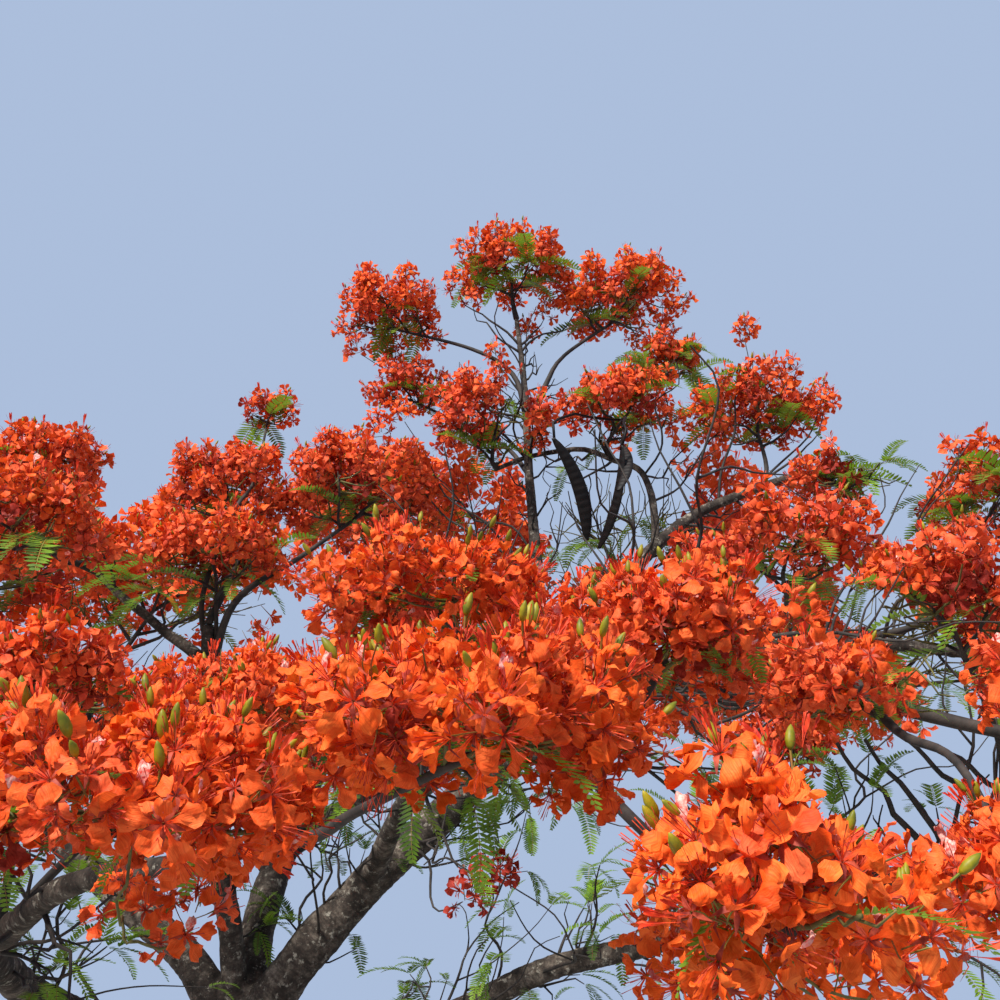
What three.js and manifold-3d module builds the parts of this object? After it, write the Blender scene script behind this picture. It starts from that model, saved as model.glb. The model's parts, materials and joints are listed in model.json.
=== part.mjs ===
// A flame tree in full bloom. A short flared trunk forks low into long crooked boughs, which
// carry flat umbrella-like masses of orange-red blossom, leafless limbs showing between them.
// Each bough is one tapering limb. Each mass is one solid: a stem, its twigs, the heads of
// blossom at their tips and a few feathery leaves, grown by a seeded rule inside its own space.

import * as THREE from "three";
import { mergeVertices } from "three/addons/utils/BufferGeometryUtils.js";
import Module from "manifold-3d";

const wasm = await Module();
wasm.setup();

// Millimetres and degrees, +Z up. The origin is the middle of the flat cut at ground level.
// Seen from the front, +X is to the right and +Y leads away.

// How limbs grow
const STEPS = 8;
const CROOK = 16;
const GOLDEN_ANGLE = 137.508;

// The trunk and its root flare
const FLARE = 125;
const FLARE_HEIGHT = 210;
const ROOT_RIDGES = 5;
const RIDGE_DEPTH = 0.3;
const TRUNK_SIDES = 20;
const FORK_ROUNDING = 0.65;

// Limbs: where each leaves its parent, as a share of that limb's length, the way it sets out,
// its length, how far it turns and bends on its way, and its radius at both ends
const LIMBS = {
  trunk: { heading: 70, climb: 85, length: 1120, turn: 0, bend: 0, radii: [152, 128], seed: 1 },
  right: {
    from: "trunk", at: 0.92, heading: -15, climb: 55, turn: 20, bend: -25,
    length: 1660, radii: [88, 56], seed: 11,
  },
  leader: {
    from: "right", at: 0.98, heading: 95, climb: 75, turn: 15, bend: 0,
    length: 2320, radii: [36, 14], seed: 12,
  },
  right_mid: {
    from: "right", at: 0.85, heading: 30, climb: 75, turn: -45, bend: -60,
    length: 1940, radii: [48, 18], seed: 13,
  },
  arc: {
    from: "right_mid", at: 0.62, heading: 70, climb: 95, turn: 150, bend: -130,
    length: 1260, radii: [17, 10], seed: 14,
  },
  left_front: {
    from: "trunk", at: 0.86, heading: -135, climb: 20, turn: 115, bend: -10,
    length: 2820, radii: [66, 20], seed: 15,
  },
  left_leader: {
    from: "trunk", at: 0.96, heading: -130, climb: 80, turn: 35, bend: -10,
    length: 1540, radii: [52, 24], seed: 16,
  },
  left_far: {
    from: "left_leader", at: 0.9, heading: -175, climb: 35, turn: 15, bend: 10,
    length: 820, radii: [20, 12], seed: 18,
  },
  front: {
    from: "right", at: 0.45, heading: -65, climb: 30, turn: -20, bend: -50,
    length: 2620, radii: [42, 17], seed: 19,
  },
  front_right: {
    from: "front", at: 0.55, heading: -20, climb: 30, turn: -35, bend: -55,
    length: 1040, radii: [22, 12], seed: 20,
  },
  low_right: {
    from: "trunk", at: 0.8, heading: -5, climb: 20, turn: -35, bend: -10,
    length: 3380, radii: [56, 18], seed: 21,
  },
  right_far: {
    from: "right", at: 0.9, heading: -35, climb: 30, turn: 55, bend: -45,
    length: 2360, radii: [40, 17], seed: 22,
  },
  back: {
    from: "trunk", at: 0.95, heading: 85, climb: 70, turn: -5, bend: -75,
    length: 3580, radii: [74, 20], seed: 24,
  },
  back_right: {
    from: "back", at: 0.22, heading: 40, climb: 40, turn: -5, bend: -40,
    length: 3080, radii: [52, 18], seed: 23,
  },
  left: {
    from: "trunk", at: 0.9, heading: -185, climb: 55, turn: 20, bend: -50,
    length: 2960, radii: [72, 20], seed: 26,
  },
  back_left: {
    from: "left", at: 0.2, heading: 120, climb: 35, turn: 20, bend: -20,
    length: 2620, radii: [52, 18], seed: 25,
  },
};
const LIMB_SIDES = 8;
const THIN_LIMB_SIDES = 5;
const THIN_LIMB = 45;
const ACROSS = new THREE.Vector3(1, 0, 0.2);

// Masses: the limb that carries each, how far along it the stem leaves, the way and the
// distance from there to the middle of the mass, and the radius of the space that it keeps
const MASSES = {
  top: { on: "leader", at: 1, heading: -160, climb: 85, reach: 300, size: 350, leaves: 4 },
  top_left: { on: "leader", at: 0.72, heading: 166, climb: 42, reach: 1000, size: 360 },
  top_hanging: { on: "leader", at: 0.58, heading: 160, climb: 40, reach: 860, size: 240 },
  top_right: { on: "leader", at: 0.7, heading: 25, climb: 55, reach: 1000, size: 400 },
  top_leafy: { on: "leader", at: 0.55, heading: 15, climb: 45, reach: 1040, size: 250, leaves: 4 },
  left_crest: { on: "left_leader", at: 0.93, heading: 87, climb: 67, reach: 1380, size: 180 },
  left_high: { on: "left_leader", at: 1, heading: 103, climb: 59, reach: 795, size: 370 },
  left_inner: { on: "left_leader", at: 0.84, heading: 40, climb: 55, reach: 1160, size: 440 },
  middle_high: { on: "arc", at: 1, heading: -95, climb: 55, reach: 240, size: 350 },
  middle_right: { on: "arc", at: 0.5, heading: -84, climb: 38, reach: 280, size: 330 },
  right_high: { on: "right_mid", at: 0.85, heading: 44, climb: 67, reach: 510, size: 370, leaves: 1 },
  right_shoulder: { on: "right_mid", at: 1, heading: -37, climb: -21, reach: 215, size: 320 },
  right_crest: { on: "right_far", at: 0.6, heading: 6, climb: 44, reach: 890, size: 350, leaves: 3 },
  right_middle: { on: "right_far", at: 0.4, heading: -90, climb: 10, reach: 840, size: 330 },
  right_lower: { on: "low_right", at: 0.8, heading: -105, climb: 45, reach: 960, size: 350 },
  right_inner: { on: "low_right", at: 0.6, heading: 65, climb: 40, reach: 960, size: 300, leaves: 1 },
  far_left_high: { on: "left_far", at: 1, heading: 168, climb: 74, reach: 245, size: 330 },
  far_left: { on: "left_far", at: 0.7, heading: -90, climb: -5, reach: 700, size: 340, leaves: 1 },
  left_middle: { on: "left_leader", at: 0.72, heading: -90, climb: 75, reach: 680, size: 340, leaves: 1 },
  left_outer: { on: "left_front", at: 0.55, heading: -65, climb: 55, reach: 880, size: 320 },
  left_near: { on: "left_front", at: 0.7, heading: -10, climb: 45, reach: 820, size: 300, leaves: 1 },
  front_high: { on: "front", at: 0.85, heading: -135, climb: 35, reach: 400, size: 300 },
  front_middle: { on: "front", at: 1, heading: 10, climb: 55, reach: 300, size: 310 },
  front_outer: { on: "front_right", at: 1, heading: -75, climb: -15, reach: 240, size: 290 },
  near_middle: { on: "left_front", at: 1, heading: -55, climb: 10, reach: 940, size: 300, leaves: 2 },
  near_left: { on: "left_front", at: 0.95, heading: -75, climb: 5, reach: 960, size: 290, leaves: 1 },
  near_right: { on: "front", at: 0.95, heading: -80, climb: -15, reach: 960, size: 230, leaves: 1 },
  near_right_outer: { on: "front_right", at: 0.8, heading: -85, climb: -25, reach: 1180, size: 230 },
  back_right_rim: { on: "back_right", at: 1, heading: 35, climb: 0, reach: 560, size: 900, leaves: 1 },
  back_right_high: { on: "back_right", at: 0.6, heading: -5, climb: 65, reach: 1020, size: 800 },
  right_rim: { on: "back_right", at: 0.7, heading: -20, climb: 5, reach: 1620, size: 860 },
  back_rim: { on: "back", at: 1, heading: 70, climb: -10, reach: 480, size: 900, leaves: 1 },
  back_high: { on: "back", at: 0.6, heading: 40, climb: 70, reach: 1060, size: 820 },
  back_left_rim: { on: "back_left", at: 1, heading: 135, climb: 0, reach: 400, size: 880 },
  back_left_high: { on: "back_left", at: 0.55, heading: 50, climb: 75, reach: 1040, size: 780 },
  back_left_inner: { on: "back_left", at: 0.75, heading: 65, climb: 10, reach: 1380, size: 820 },
  left_rim: { on: "left", at: 1, heading: 125, climb: -5, reach: 700, size: 880, leaves: 1 },
  left_top: { on: "left", at: 0.6, heading: 115, climb: 60, reach: 1020, size: 760 },
  left_front_rim: { on: "left", at: 0.75, heading: -115, climb: 0, reach: 1140, size: 840 },
  front_left: { on: "left_front", at: 0.4, heading: -130, climb: 40, reach: 1420, size: 680 },
  front_left_rim: { on: "left_front", at: 0.65, heading: -105, climb: 20, reach: 1220, size: 660 },
  far_right_rim: { on: "right_far", at: 1, heading: 20, climb: 5, reach: 480, size: 740 },
  low_right_rim: { on: "low_right", at: 1, heading: -35, climb: 15, reach: 480, size: 700 },
  front_right_rim: {
    on: "front_right", at: 0.9, heading: -30, climb: -10, reach: 1020, size: 620, leaves: 1,
  },
};
const SQUASH = 0.62;
const FIRST_MASS_SEED = 101;
const CROWN_SEED = 1000;

// Stems and twigs, as radii
const STEM_BASE = 9;
const STEM_PER_SIZE = 0.02;
const STEM_STEP = 340;
const STEM_SIDES = 4;
const STEM_TAPER = 0.7;
const STEM_CROOK = 0.05;
const STEM_SWEEP = 0.4;
const STEM_BOWS = [0, 0.2, -0.2, 0.4, -0.4, 0.6, -0.6];
const HUB_DROP = 0.3;
const TWIG_STRETCH = 0.8;
const SHORTEST_STRETCH = 0.05;
const TWIG_OFFSET = 0.3;
const TWIG_ROOT = 0.3;
const TWIG_TIP = 0.28;
const TWIG_SIDES = 3;

// Heads of blossom: each is a cluster of flowers with a five-lobed outline
const FEWEST_HEADS = 3.6;
const SIZE_PER_HEAD = 250;
const HEAD_COVER = 1.45;
const HEAD_LOBES = 5;
const NOTCH = 0.66;
const LOBE_DROP = 0.12;
const SIDE_TILT = 0.1;
const CROWN_HEIGHT = 0.36;
const NECK_DROP = 0.3;
const LEAST_LEAN = 0.4;
const LOWEST_HEAD = 118;
const HEAD_UPTURN = 0.55;
const HEAD_INSET = 0.35;
const SMALLEST_HEAD = 0.72;
const FIRST_TRY = 1;
const LAST_TRY = 0.5;
const TRY_STEP = 0.07;

// Leaves, each standing for one feathery leaf, and the flat woody pods
const LEAF_LENGTH = 380;
const LEAF_WIDTH = 150;
const LEAF_THICKNESS = 6;
const LEAF_LOWEST = -15;
const LEAF_HIGHEST = 35;
const LEAF_SPREAD = 0.6;
const USUAL_LEAVES = 0;
const POD_LENGTH = 430;
const POD_WIDTH = 48;
const POD_THICKNESS = 14;
const POD_BOW = 30;
const PODS = { on: "middle_right", count: 3, first: [-90, -210, -210], next: [-85, 15, 25], lean: 12 };
const POD_STALK = 7;
const POD_GRIP = 25;
const POD_SIDES = 6;
const POD_RINGS = 4;

// What neighbours keep between them, how far from its path a limb may reach into a mass, and
// within what distance two points count as one
const GAP = 0.35;
const CLEARANCE = 4;
const NEAR = 150;
const SAME_POINT = 1;

const BARK = { color: 0x6f655c, roughness: 0.9 };
const BLOSSOM = { color: 0xd8401c, roughness: 0.7 };

// A repeatable run of numbers from 0 to 1
function dice(seed) {
  let state = seed >>> 0;
  return () => {
    state = (state + 0x6d2b79f5) >>> 0;
    let mixed = Math.imul(state ^ (state >>> 15), 1 | state) >>> 0;
    mixed = ((mixed + (Math.imul(mixed ^ (mixed >>> 7), 61 | mixed) >>> 0)) >>> 0) ^ mixed;
    return ((mixed ^ (mixed >>> 14)) >>> 0) / 4294967296;
  };
}

function direction(heading, climb) {
  const h = THREE.MathUtils.degToRad(heading);
  const c = THREE.MathUtils.degToRad(climb);
  return new THREE.Vector3(Math.cos(h) * Math.cos(c), Math.sin(h) * Math.cos(c), Math.sin(c));
}

function growPath(start, limb) {
  const roll = dice(limb.seed);
  const path = [start.clone()];
  for (let i = 0; i < STEPS; i += 1) {
    const share = (i + 0.5) / STEPS;
    const heading = limb.heading + limb.turn * share + CROOK * (roll() - 0.5);
    const climb = limb.climb + limb.bend * share + CROOK * (roll() - 0.5);
    path.push(path[i].clone().addScaledVector(direction(heading, climb), limb.length / STEPS));
  }
  return path;
}

function pointAlong(path, share) {
  const steps = path.length - 1;
  const step = Math.min(Math.floor(share * steps), steps - 1);
  return path[step].clone().lerp(path[step + 1], share * steps - step);
}

// A shape's corners and faces alone, each corner once
function bare(shape) {
  shape.deleteAttribute("normal");
  shape.deleteAttribute("uv");
  return mergeVertices(shape);
}

function solid(shape) {
  return new wasm.Manifold(
    new wasm.Mesh({
      numProp: 3,
      vertProperties: new Float32Array(shape.attributes.position.array),
      triVerts: new Uint32Array(shape.index.array),
    }),
  );
}

// Moves every corner of a shape to where the rule says
function reshape(shape, rule) {
  const places = shape.attributes.position;
  const corner = new THREE.Vector3();
  for (let i = 0; i < places.count; i += 1) {
    corner.fromBufferAttribute(places, i);
    const place = rule(corner);
    places.setXYZ(i, place.x, place.y, place.z);
  }
  return shape;
}

// A round limb with closed ends: a cylinder whose rings are carried onto the path
function tube(path, radii, sides) {
  const steps = path.length - 1;
  const ways = path.map((_, i) => {
    const before = path[Math.max(i - 1, 0)];
    const after = path[Math.min(i + 1, steps)];
    return after.clone().sub(before).normalize();
  });
  let side = ACROSS.clone().cross(ways[0]).normalize();
  const frames = ways.map((way) => {
    side = side.clone().addScaledVector(way, -side.dot(way)).normalize();
    return { side, up: side.clone().cross(way) };
  });
  const shape = bare(new THREE.CylinderGeometry(1, 1, 1, sides, steps));
  return reshape(shape, (corner) => {
    const ring = Math.round((corner.y + 0.5) * steps);
    const radius = THREE.MathUtils.lerp(radii[0], radii[1], ring / steps);
    return path[ring]
      .clone()
      .addScaledVector(frames[ring].side, corner.x * radius)
      .addScaledVector(frames[ring].up, corner.z * radius);
  });
}

// The trunk's rings stay level, so its foot is flat, and ridges run down it into the roots
function trunkShape(path, radii, extra) {
  const steps = path.length - 1;
  const shape = bare(new THREE.CylinderGeometry(1, 1, 1, TRUNK_SIDES, steps));
  return reshape(shape, (corner) => {
    const ring = Math.round((corner.y + 0.5) * steps);
    const centre = path[ring];
    const flare = Math.exp(-centre.z / FLARE_HEIGHT);
    const ridge = 1 + RIDGE_DEPTH * flare * Math.cos(ROOT_RIDGES * Math.atan2(corner.z, corner.x));
    const rounding = ring === steps ? FORK_ROUNDING : 1;
    const plain = THREE.MathUtils.lerp(radii[0], radii[1], ring / steps) * rounding;
    const radius = (plain + FLARE * flare) * ridge + extra;
    return new THREE.Vector3(centre.x + corner.x * radius, centre.y - corner.z * radius, centre.z);
  });
}

// The largest body of a solid, without sealed hollows or loose scraps
function largest(body) {
  return body.decompose().reduce((best, piece) => (piece.volume() > best.volume() ? piece : best));
}

function join(bodies) {
  return bodies.reduce((whole, body) => whole.add(body));
}

function touches(body, others) {
  return others.some((other) => !other.intersect(body).isEmpty());
}

function limbBody(name, extra) {
  const limb = LIMBS[name];
  if (name === "trunk") {
    return solid(trunkShape(limb.path, limb.radii, extra));
  }
  const sides = limb.radii[0] > THIN_LIMB ? LIMB_SIDES : THIN_LIMB_SIDES;
  const radii = limb.radii.map((radius) => radius + extra);
  const last = limb.path.length - 1;
  const tip = limb.path[last].clone();
  tip.addScaledVector(tip.clone().sub(limb.path[last - 1]).normalize(), extra);
  return solid(tube([...limb.path.slice(0, last), tip], radii, sides));
}

for (const [name, limb] of Object.entries(LIMBS)) {
  const start = limb.from ? pointAlong(LIMBS[limb.from].path, limb.at) : new THREE.Vector3();
  limb.path = growPath(start, limb);
  limb.wide = limbBody(name, GAP);
  limb.clear = limbBody(name, CLEARANCE);
}

// The place of a mass in a space that is stretched until every mass is round
function stretched(point) {
  return new THREE.Vector3(point.x, point.y, point.z / SQUASH);
}

Object.entries(MASSES).forEach(([name, mass], index) => {
  const limb = LIMBS[mass.on];
  mass.name = name;
  mass.seed = FIRST_MASS_SEED + index;
  mass.start = pointAlong(limb.path, mass.at);
  mass.middle = mass.start.clone().addScaledVector(direction(mass.heading, mass.climb), mass.reach);
  mass.hub = mass.middle.clone();
  mass.hub.z -= HUB_DROP * SQUASH * mass.size;
  mass.stemRadius = STEM_BASE + STEM_PER_SIZE * mass.size;
  mass.headCount = Math.round(FEWEST_HEADS + mass.size / SIZE_PER_HEAD);
  mass.headRadius = mass.size * Math.sqrt(HEAD_COVER / mass.headCount);
});

// Each mass owns the points that lie within its size of its middle, up to a flat border with
// each neighbour, so that no two masses share a point
function borders(mass) {
  const own = stretched(mass.middle);
  return Object.values(MASSES)
    .filter((other) => other !== mass)
    .map((other) => {
      const theirs = stretched(other.middle);
      const way = theirs.clone().sub(own);
      const distance = way.length();
      const reach = (distance ** 2 + mass.size ** 2 - other.size ** 2) / (2 * distance);
      return { way: way.normalize(), reach };
    })
    .filter((border) => border.reach < mass.size);
}

function keepsToSpace(mass, point) {
  const offset = stretched(point).sub(stretched(mass.middle));
  const isInside = ({ way, reach }) => offset.dot(way) < reach - CLEARANCE;
  return offset.length() < mass.size - CLEARANCE && mass.borders.every(isInside);
}

// Carries a shape that stands on the origin along +Y to a point, facing a way
function stand(shape, place, way) {
  const turn = new THREE.Quaternion().setFromUnitVectors(new THREE.Vector3(0, 1, 0), way);
  return shape.clone().applyMatrix4(new THREE.Matrix4().compose(place, turn, new THREE.Vector3(1, 1, 1)));
}

function corners(shape) {
  const places = shape.attributes.position;
  return Array.from({ length: places.count }, (_, i) => new THREE.Vector3().fromBufferAttribute(places, i));
}

// A head of blossom on its twig, as one shape: a three-sided twig widens under a low dome
// with five lobes that droop a little at their tips
function sprayShape(root, place, up, radius, thickness) {
  const neck = place.clone().addScaledVector(up, -NECK_DROP * radius);
  const way = neck.clone().sub(root).normalize();
  const side = new THREE.Vector3(way.y, -way.x, SIDE_TILT).cross(up).normalize();
  const other = up.clone().cross(side);
  const rootSide = side.clone().addScaledVector(way, -side.dot(way)).normalize();
  const rootOther = way.clone().cross(rootSide);
  const around = (centre, first, second, turn, size) =>
    centre
      .clone()
      .addScaledVector(first, size * Math.cos(turn))
      .addScaledVector(second, size * Math.sin(turn));

  const ring = Array.from({ length: TWIG_SIDES }, (_, k) => (k * 2 * Math.PI) / TWIG_SIDES);
  const rootRing = ring.map((turn) => around(root, rootSide, rootOther, turn, thickness * TWIG_ROOT));
  const neckRing = ring.map((turn) => around(neck, rootSide, rootOther, turn, thickness * TWIG_TIP));
  const rim = Array.from({ length: 2 * HEAD_LOBES }, (_, k) => {
    const lobe = k % 2 === 0;
    const point = around(place, side, other, (k * Math.PI) / HEAD_LOBES, radius * (lobe ? 1 : NOTCH));
    return point.addScaledVector(up, lobe ? -LOBE_DROP * radius : 0);
  });
  const crown = place.clone().addScaledVector(up, CROWN_HEIGHT * radius);

  const neckAt = TWIG_SIDES;
  const rimAt = 2 * TWIG_SIDES;
  const crownAt = rimAt + rim.length;
  const faces = [0, 2, 1];
  for (let k = 0; k < TWIG_SIDES; k += 1) {
    const next = (k + 1) % TWIG_SIDES;
    faces.push(k, next, neckAt + next, k, neckAt + next, neckAt + k);
  }
  for (let k = 0; k < rim.length; k += 1) {
    const here = rimAt + k;
    const next = rimAt + ((k + 1) % rim.length);
    const inner = neckAt + (Math.round((k * TWIG_SIDES) / rim.length) % TWIG_SIDES);
    const nextInner = neckAt + (Math.round(((k + 1) * TWIG_SIDES) / rim.length) % TWIG_SIDES);
    faces.push(here, next, crownAt, next, here, inner);
    if (nextInner !== inner) {
      faces.push(inner, nextInner, next);
    }
  }
  const points = [...rootRing, ...neckRing, ...rim, crown];
  return new THREE.BufferGeometry().setFromPoints(points).setIndex(faces);
}

// A leaf of length 1 along +Y from its root, as a flat eight-faced blade
function leafShape() {
  return reshape(bare(new THREE.OctahedronGeometry(1)), (corner) => {
    const along = (corner.y + 1) / 2;
    const wide = (corner.x * LEAF_WIDTH) / (2 * LEAF_LENGTH);
    const thick = (corner.z * LEAF_THICKNESS) / (2 * LEAF_LENGTH);
    return new THREE.Vector3(wide, along, thick);
  });
}

// A hanging pod, long and flat, with its stalk end on the origin and its tip down at -Y
function podShape() {
  return reshape(bare(new THREE.SphereGeometry(1, POD_SIDES, POD_RINGS)), (corner) => {
    const down = (1 - corner.y) / 2;
    const across = (corner.x * POD_WIDTH) / 2 + POD_BOW * down ** 2;
    return new THREE.Vector3(across, -POD_LENGTH * down, (corner.z * POD_THICKNESS) / 2);
  });
}

const LEAF = leafShape();

function twig(from, to, root, tip) {
  const length = from.distanceTo(to);
  const shape = bare(new THREE.CylinderGeometry(tip, root, length, TWIG_SIDES, 1));
  const way = to.clone().sub(from).normalize();
  return stand(shape, from.clone().lerp(to, 0.5), way);
}

// The stem leaves its bough the way the bough grows and bends over to the hub of its mass
function stemPath(mass, bow) {
  const path = LIMBS[mass.on].path;
  const along = pointAlong(path, mass.at)
    .sub(pointAlong(path, mass.at - 0.5 / STEPS))
    .normalize();
  const span = mass.hub.clone().sub(mass.start);
  const length = span.length();
  const side = span.clone().cross(new THREE.Vector3(0, 0, 1)).normalize();
  const control = mass.start
    .clone()
    .addScaledVector(along, STEM_SWEEP * length)
    .addScaledVector(side, bow * length);
  const curve = new THREE.QuadraticBezierCurve3(mass.start, control, mass.hub);
  const roll = dice(mass.seed);
  const steps = Math.max(2, Math.round(length / STEM_STEP));
  return curve.getPoints(steps).map((point, i) => {
    if (i === 0 || i === steps) {
      return point;
    }
    const crook = new THREE.Vector3(roll() - 0.5, roll() - 0.5, roll() - 0.5);
    return point.addScaledVector(crook, 2 * STEM_CROOK * length);
  });
}

function stemBody(mass, path, extra) {
  return solid(tube(path, [mass.stemRadius + extra, mass.stemRadius * STEM_TAPER + extra], STEM_SIDES));
}

// Each stem takes the straightest way that is clear of other limbs and of earlier stems
const stems = [];
for (const mass of Object.values(MASSES)) {
  mass.borders = borders(mass);
  const inTheWay = Object.entries(LIMBS)
    .filter(([name]) => name !== mass.on)
    .map(([, limb]) => limb.clear)
    .concat(stems.map((stem) => stem.clear));
  const paths = STEM_BOWS.map((bow) => stemPath(mass, bow));
  const body = (path) => stemBody(mass, path, 0).subtract(LIMBS[mass.on].clear);
  mass.stemPath = paths.find((path) => !touches(body(path), inTheWay)) ?? paths[0];
  stems.push({
    mass,
    wide: stemBody(mass, mass.stemPath, GAP),
    clear: stemBody(mass, mass.stemPath, CLEARANCE),
  });
}

// Where the heads of a mass want to be: spread evenly over its dome and a little below its rim
function headWays(mass, roll) {
  const count = mass.headCount;
  const lowest = Math.cos(THREE.MathUtils.degToRad(LOWEST_HEAD));
  const phase = 360 * roll();
  return Array.from({ length: count }, (_, k) => {
    const height = 1 - ((k + 0.5) / count) * (1 - lowest);
    return direction(phase + k * GOLDEN_ANGLE, THREE.MathUtils.radToDeg(Math.asin(height)));
  });
}

// The largest spray that fits its mass's space on this side of it, or nothing
function fitSpray(mass, root, way, blocked) {
  const upright = new THREE.Vector3(way.x, way.y, way.z / SQUASH).normalize();
  upright.z += HEAD_UPTURN;
  upright.normalize();
  const flat = new THREE.Vector3(way.x, way.y, way.z * SQUASH);
  for (let share = FIRST_TRY; share > LAST_TRY; share -= TRY_STEP) {
    const radius = mass.headRadius * Math.max(share, SMALLEST_HEAD);
    const place = mass.middle.clone().addScaledVector(flat, (mass.size - radius * HEAD_INSET) * share);
    const outward = place.clone().sub(root).normalize();
    const up = upright.clone();
    if (up.dot(outward) < LEAST_LEAN) {
      up.add(outward).normalize();
    }
    const shape = sprayShape(root, place, up, radius, mass.stemRadius);
    if (corners(shape).every((corner, k) => k < TWIG_SIDES || keepsToSpace(mass, corner))) {
      const body = solid(shape);
      if (!blocked(body)) {
        return body;
      }
    }
  }
  return null;
}

function growMass(mass) {
  const roll = dice(mass.seed + CROWN_SEED);
  const box = new THREE.Box3().setFromPoints([mass.middle]).expandByScalar(mass.size);
  const near = (path) => new THREE.Box3().setFromPoints(path).expandByScalar(NEAR).intersectsBox(box);
  const obstacles = Object.values(LIMBS)
    .filter((limb) => near(limb.path))
    .concat(stems.filter((stem) => stem.mass !== mass && near(stem.mass.stemPath)))
    .map((neighbour) => neighbour.clear);
  const blocked = (body) => touches(body, obstacles);

  const parts = [stemBody(mass, mass.stemPath, 0)];

  // The head that lies furthest ahead grows from the stem's end, the others from further back
  const ahead = mass.hub.clone().sub(pointAlong(mass.stemPath, 0.5));
  const ways = headWays(mass, roll).sort((a, b) => b.dot(ahead) - a.dot(ahead));
  let stretch = Math.min((TWIG_STRETCH * mass.size) / mass.hub.distanceTo(mass.start), TWIG_STRETCH);
  while (stretch > SHORTEST_STRETCH && !keepsToSpace(mass, pointAlong(mass.stemPath, 1 - stretch))) {
    stretch *= 1 - TRY_STEP;
  }
  ways.forEach((way, k) => {
    const root = pointAlong(mass.stemPath, 1 - (stretch * (k + TWIG_OFFSET)) / ways.length);
    const spray = fitSpray(mass, root, way, (body) => blocked(body) || touches(body, parts.slice(1)));
    if (spray) {
      parts.push(spray);
    }
  });

  const leaves = mass.leaves ?? USUAL_LEAVES;
  for (let leaf = 0; leaf < leaves; leaf += 1) {
    const way = direction(360 * roll(), LEAF_LOWEST + (LEAF_HIGHEST - LEAF_LOWEST) * roll());
    const root = pointAlong(mass.stemPath, 1 - stretch * (1 - (LEAF_SPREAD * leaf) / leaves));
    for (let share = FIRST_TRY; share > LAST_TRY; share -= TRY_STEP) {
      const length = LEAF_LENGTH * share;
      const shape = stand(LEAF.clone().scale(length, length, length), root, way);
      const body = solid(shape);
      const free = corners(shape).filter((corner) => corner.distanceTo(root) > SAME_POINT);
      if (free.every((corner) => keepsToSpace(mass, corner)) && !blocked(body)) {
        parts.push(body);
        break;
      }
    }
  }

  if (mass.name === PODS.on) {
    for (let pod = 0; pod < PODS.count; pod += 1) {
      const top = mass.hub
        .clone()
        .add(new THREE.Vector3(...PODS.first))
        .addScaledVector(new THREE.Vector3(...PODS.next), pod);
      const upward = direction(180 * pod, 90 - PODS.lean);
      const grip = top.clone().addScaledVector(upward, -POD_GRIP);
      parts.push(solid(stand(podShape(), top, upward)), solid(twig(mass.hub, grip, POD_STALK, POD_STALK)));
    }
  }

  const trimmed = Object.values(LIMBS)
    .filter((limb) => near(limb.path) || limb === LIMBS[mass.on])
    .map((limb) => limb.wide)
    .concat(stems.slice(0, stems.findIndex((stem) => stem.mass === mass)).map((stem) => stem.wide))
    .reduce((body, neighbour) => body.subtract(neighbour), join(parts));
  return largest(trimmed);
}

function mesh(name, body, finish) {
  const { vertProperties, triVerts } = body.getMesh();
  const geometry = new THREE.BufferGeometry();
  geometry.setAttribute("position", new THREE.BufferAttribute(vertProperties, 3));
  geometry.setIndex(new THREE.BufferAttribute(triVerts, 1));
  geometry.computeVertexNormals();
  const piece = new THREE.Mesh(geometry, new THREE.MeshStandardMaterial({ ...finish, metalness: 0 }));
  piece.name = name;
  return piece;
}

const tree = new THREE.Group();

const grown = [];
for (const [name, limb] of Object.entries(LIMBS)) {
  const body = grown.reduce((rest, earlier) => rest.subtract(earlier.wide), limbBody(name, 0));
  grown.push(limb);
  tree.add(mesh(name === "trunk" ? name : `bough_${name}`, largest(body), BARK));
}

for (const mass of Object.values(MASSES)) {
  tree.add(mesh(`mass_${mass.name}`, growMass(mass), BLOSSOM));
}

export default tree;
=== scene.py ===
import json
import math

import bmesh
import bpy
import numpy as np
from mathutils import Euler, Matrix, Quaternion, Vector, kdtree, noise

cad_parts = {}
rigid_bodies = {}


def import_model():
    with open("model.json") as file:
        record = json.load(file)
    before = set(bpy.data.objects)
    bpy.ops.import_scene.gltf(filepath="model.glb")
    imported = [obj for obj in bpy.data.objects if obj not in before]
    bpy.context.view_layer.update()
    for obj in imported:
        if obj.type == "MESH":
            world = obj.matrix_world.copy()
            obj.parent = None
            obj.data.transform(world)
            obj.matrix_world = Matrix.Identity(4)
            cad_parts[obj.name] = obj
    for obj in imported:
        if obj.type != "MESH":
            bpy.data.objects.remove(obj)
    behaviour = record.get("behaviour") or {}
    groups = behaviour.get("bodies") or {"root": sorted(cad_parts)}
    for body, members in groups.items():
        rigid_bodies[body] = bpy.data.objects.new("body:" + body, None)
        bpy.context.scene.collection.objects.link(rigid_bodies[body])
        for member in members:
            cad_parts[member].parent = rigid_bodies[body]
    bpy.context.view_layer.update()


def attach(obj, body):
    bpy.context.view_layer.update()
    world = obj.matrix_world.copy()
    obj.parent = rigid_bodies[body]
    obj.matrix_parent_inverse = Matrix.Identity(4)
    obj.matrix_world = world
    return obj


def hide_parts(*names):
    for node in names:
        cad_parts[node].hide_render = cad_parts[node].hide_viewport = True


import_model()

# Metres and degrees, +Z up. The origin is the middle of the flat cut at ground level.
# Seen from the front, +X is to the right and +Y leads away.


# Trunk and boughs. A short trunk, flared into five roots and cut flat at the ground, forks low
# into long crooked boughs. All of it is living wood under one thin grey-brown bark, so the
# limbs are made as tubes, run together by a fine remesh and then given the relief of bark.

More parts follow.
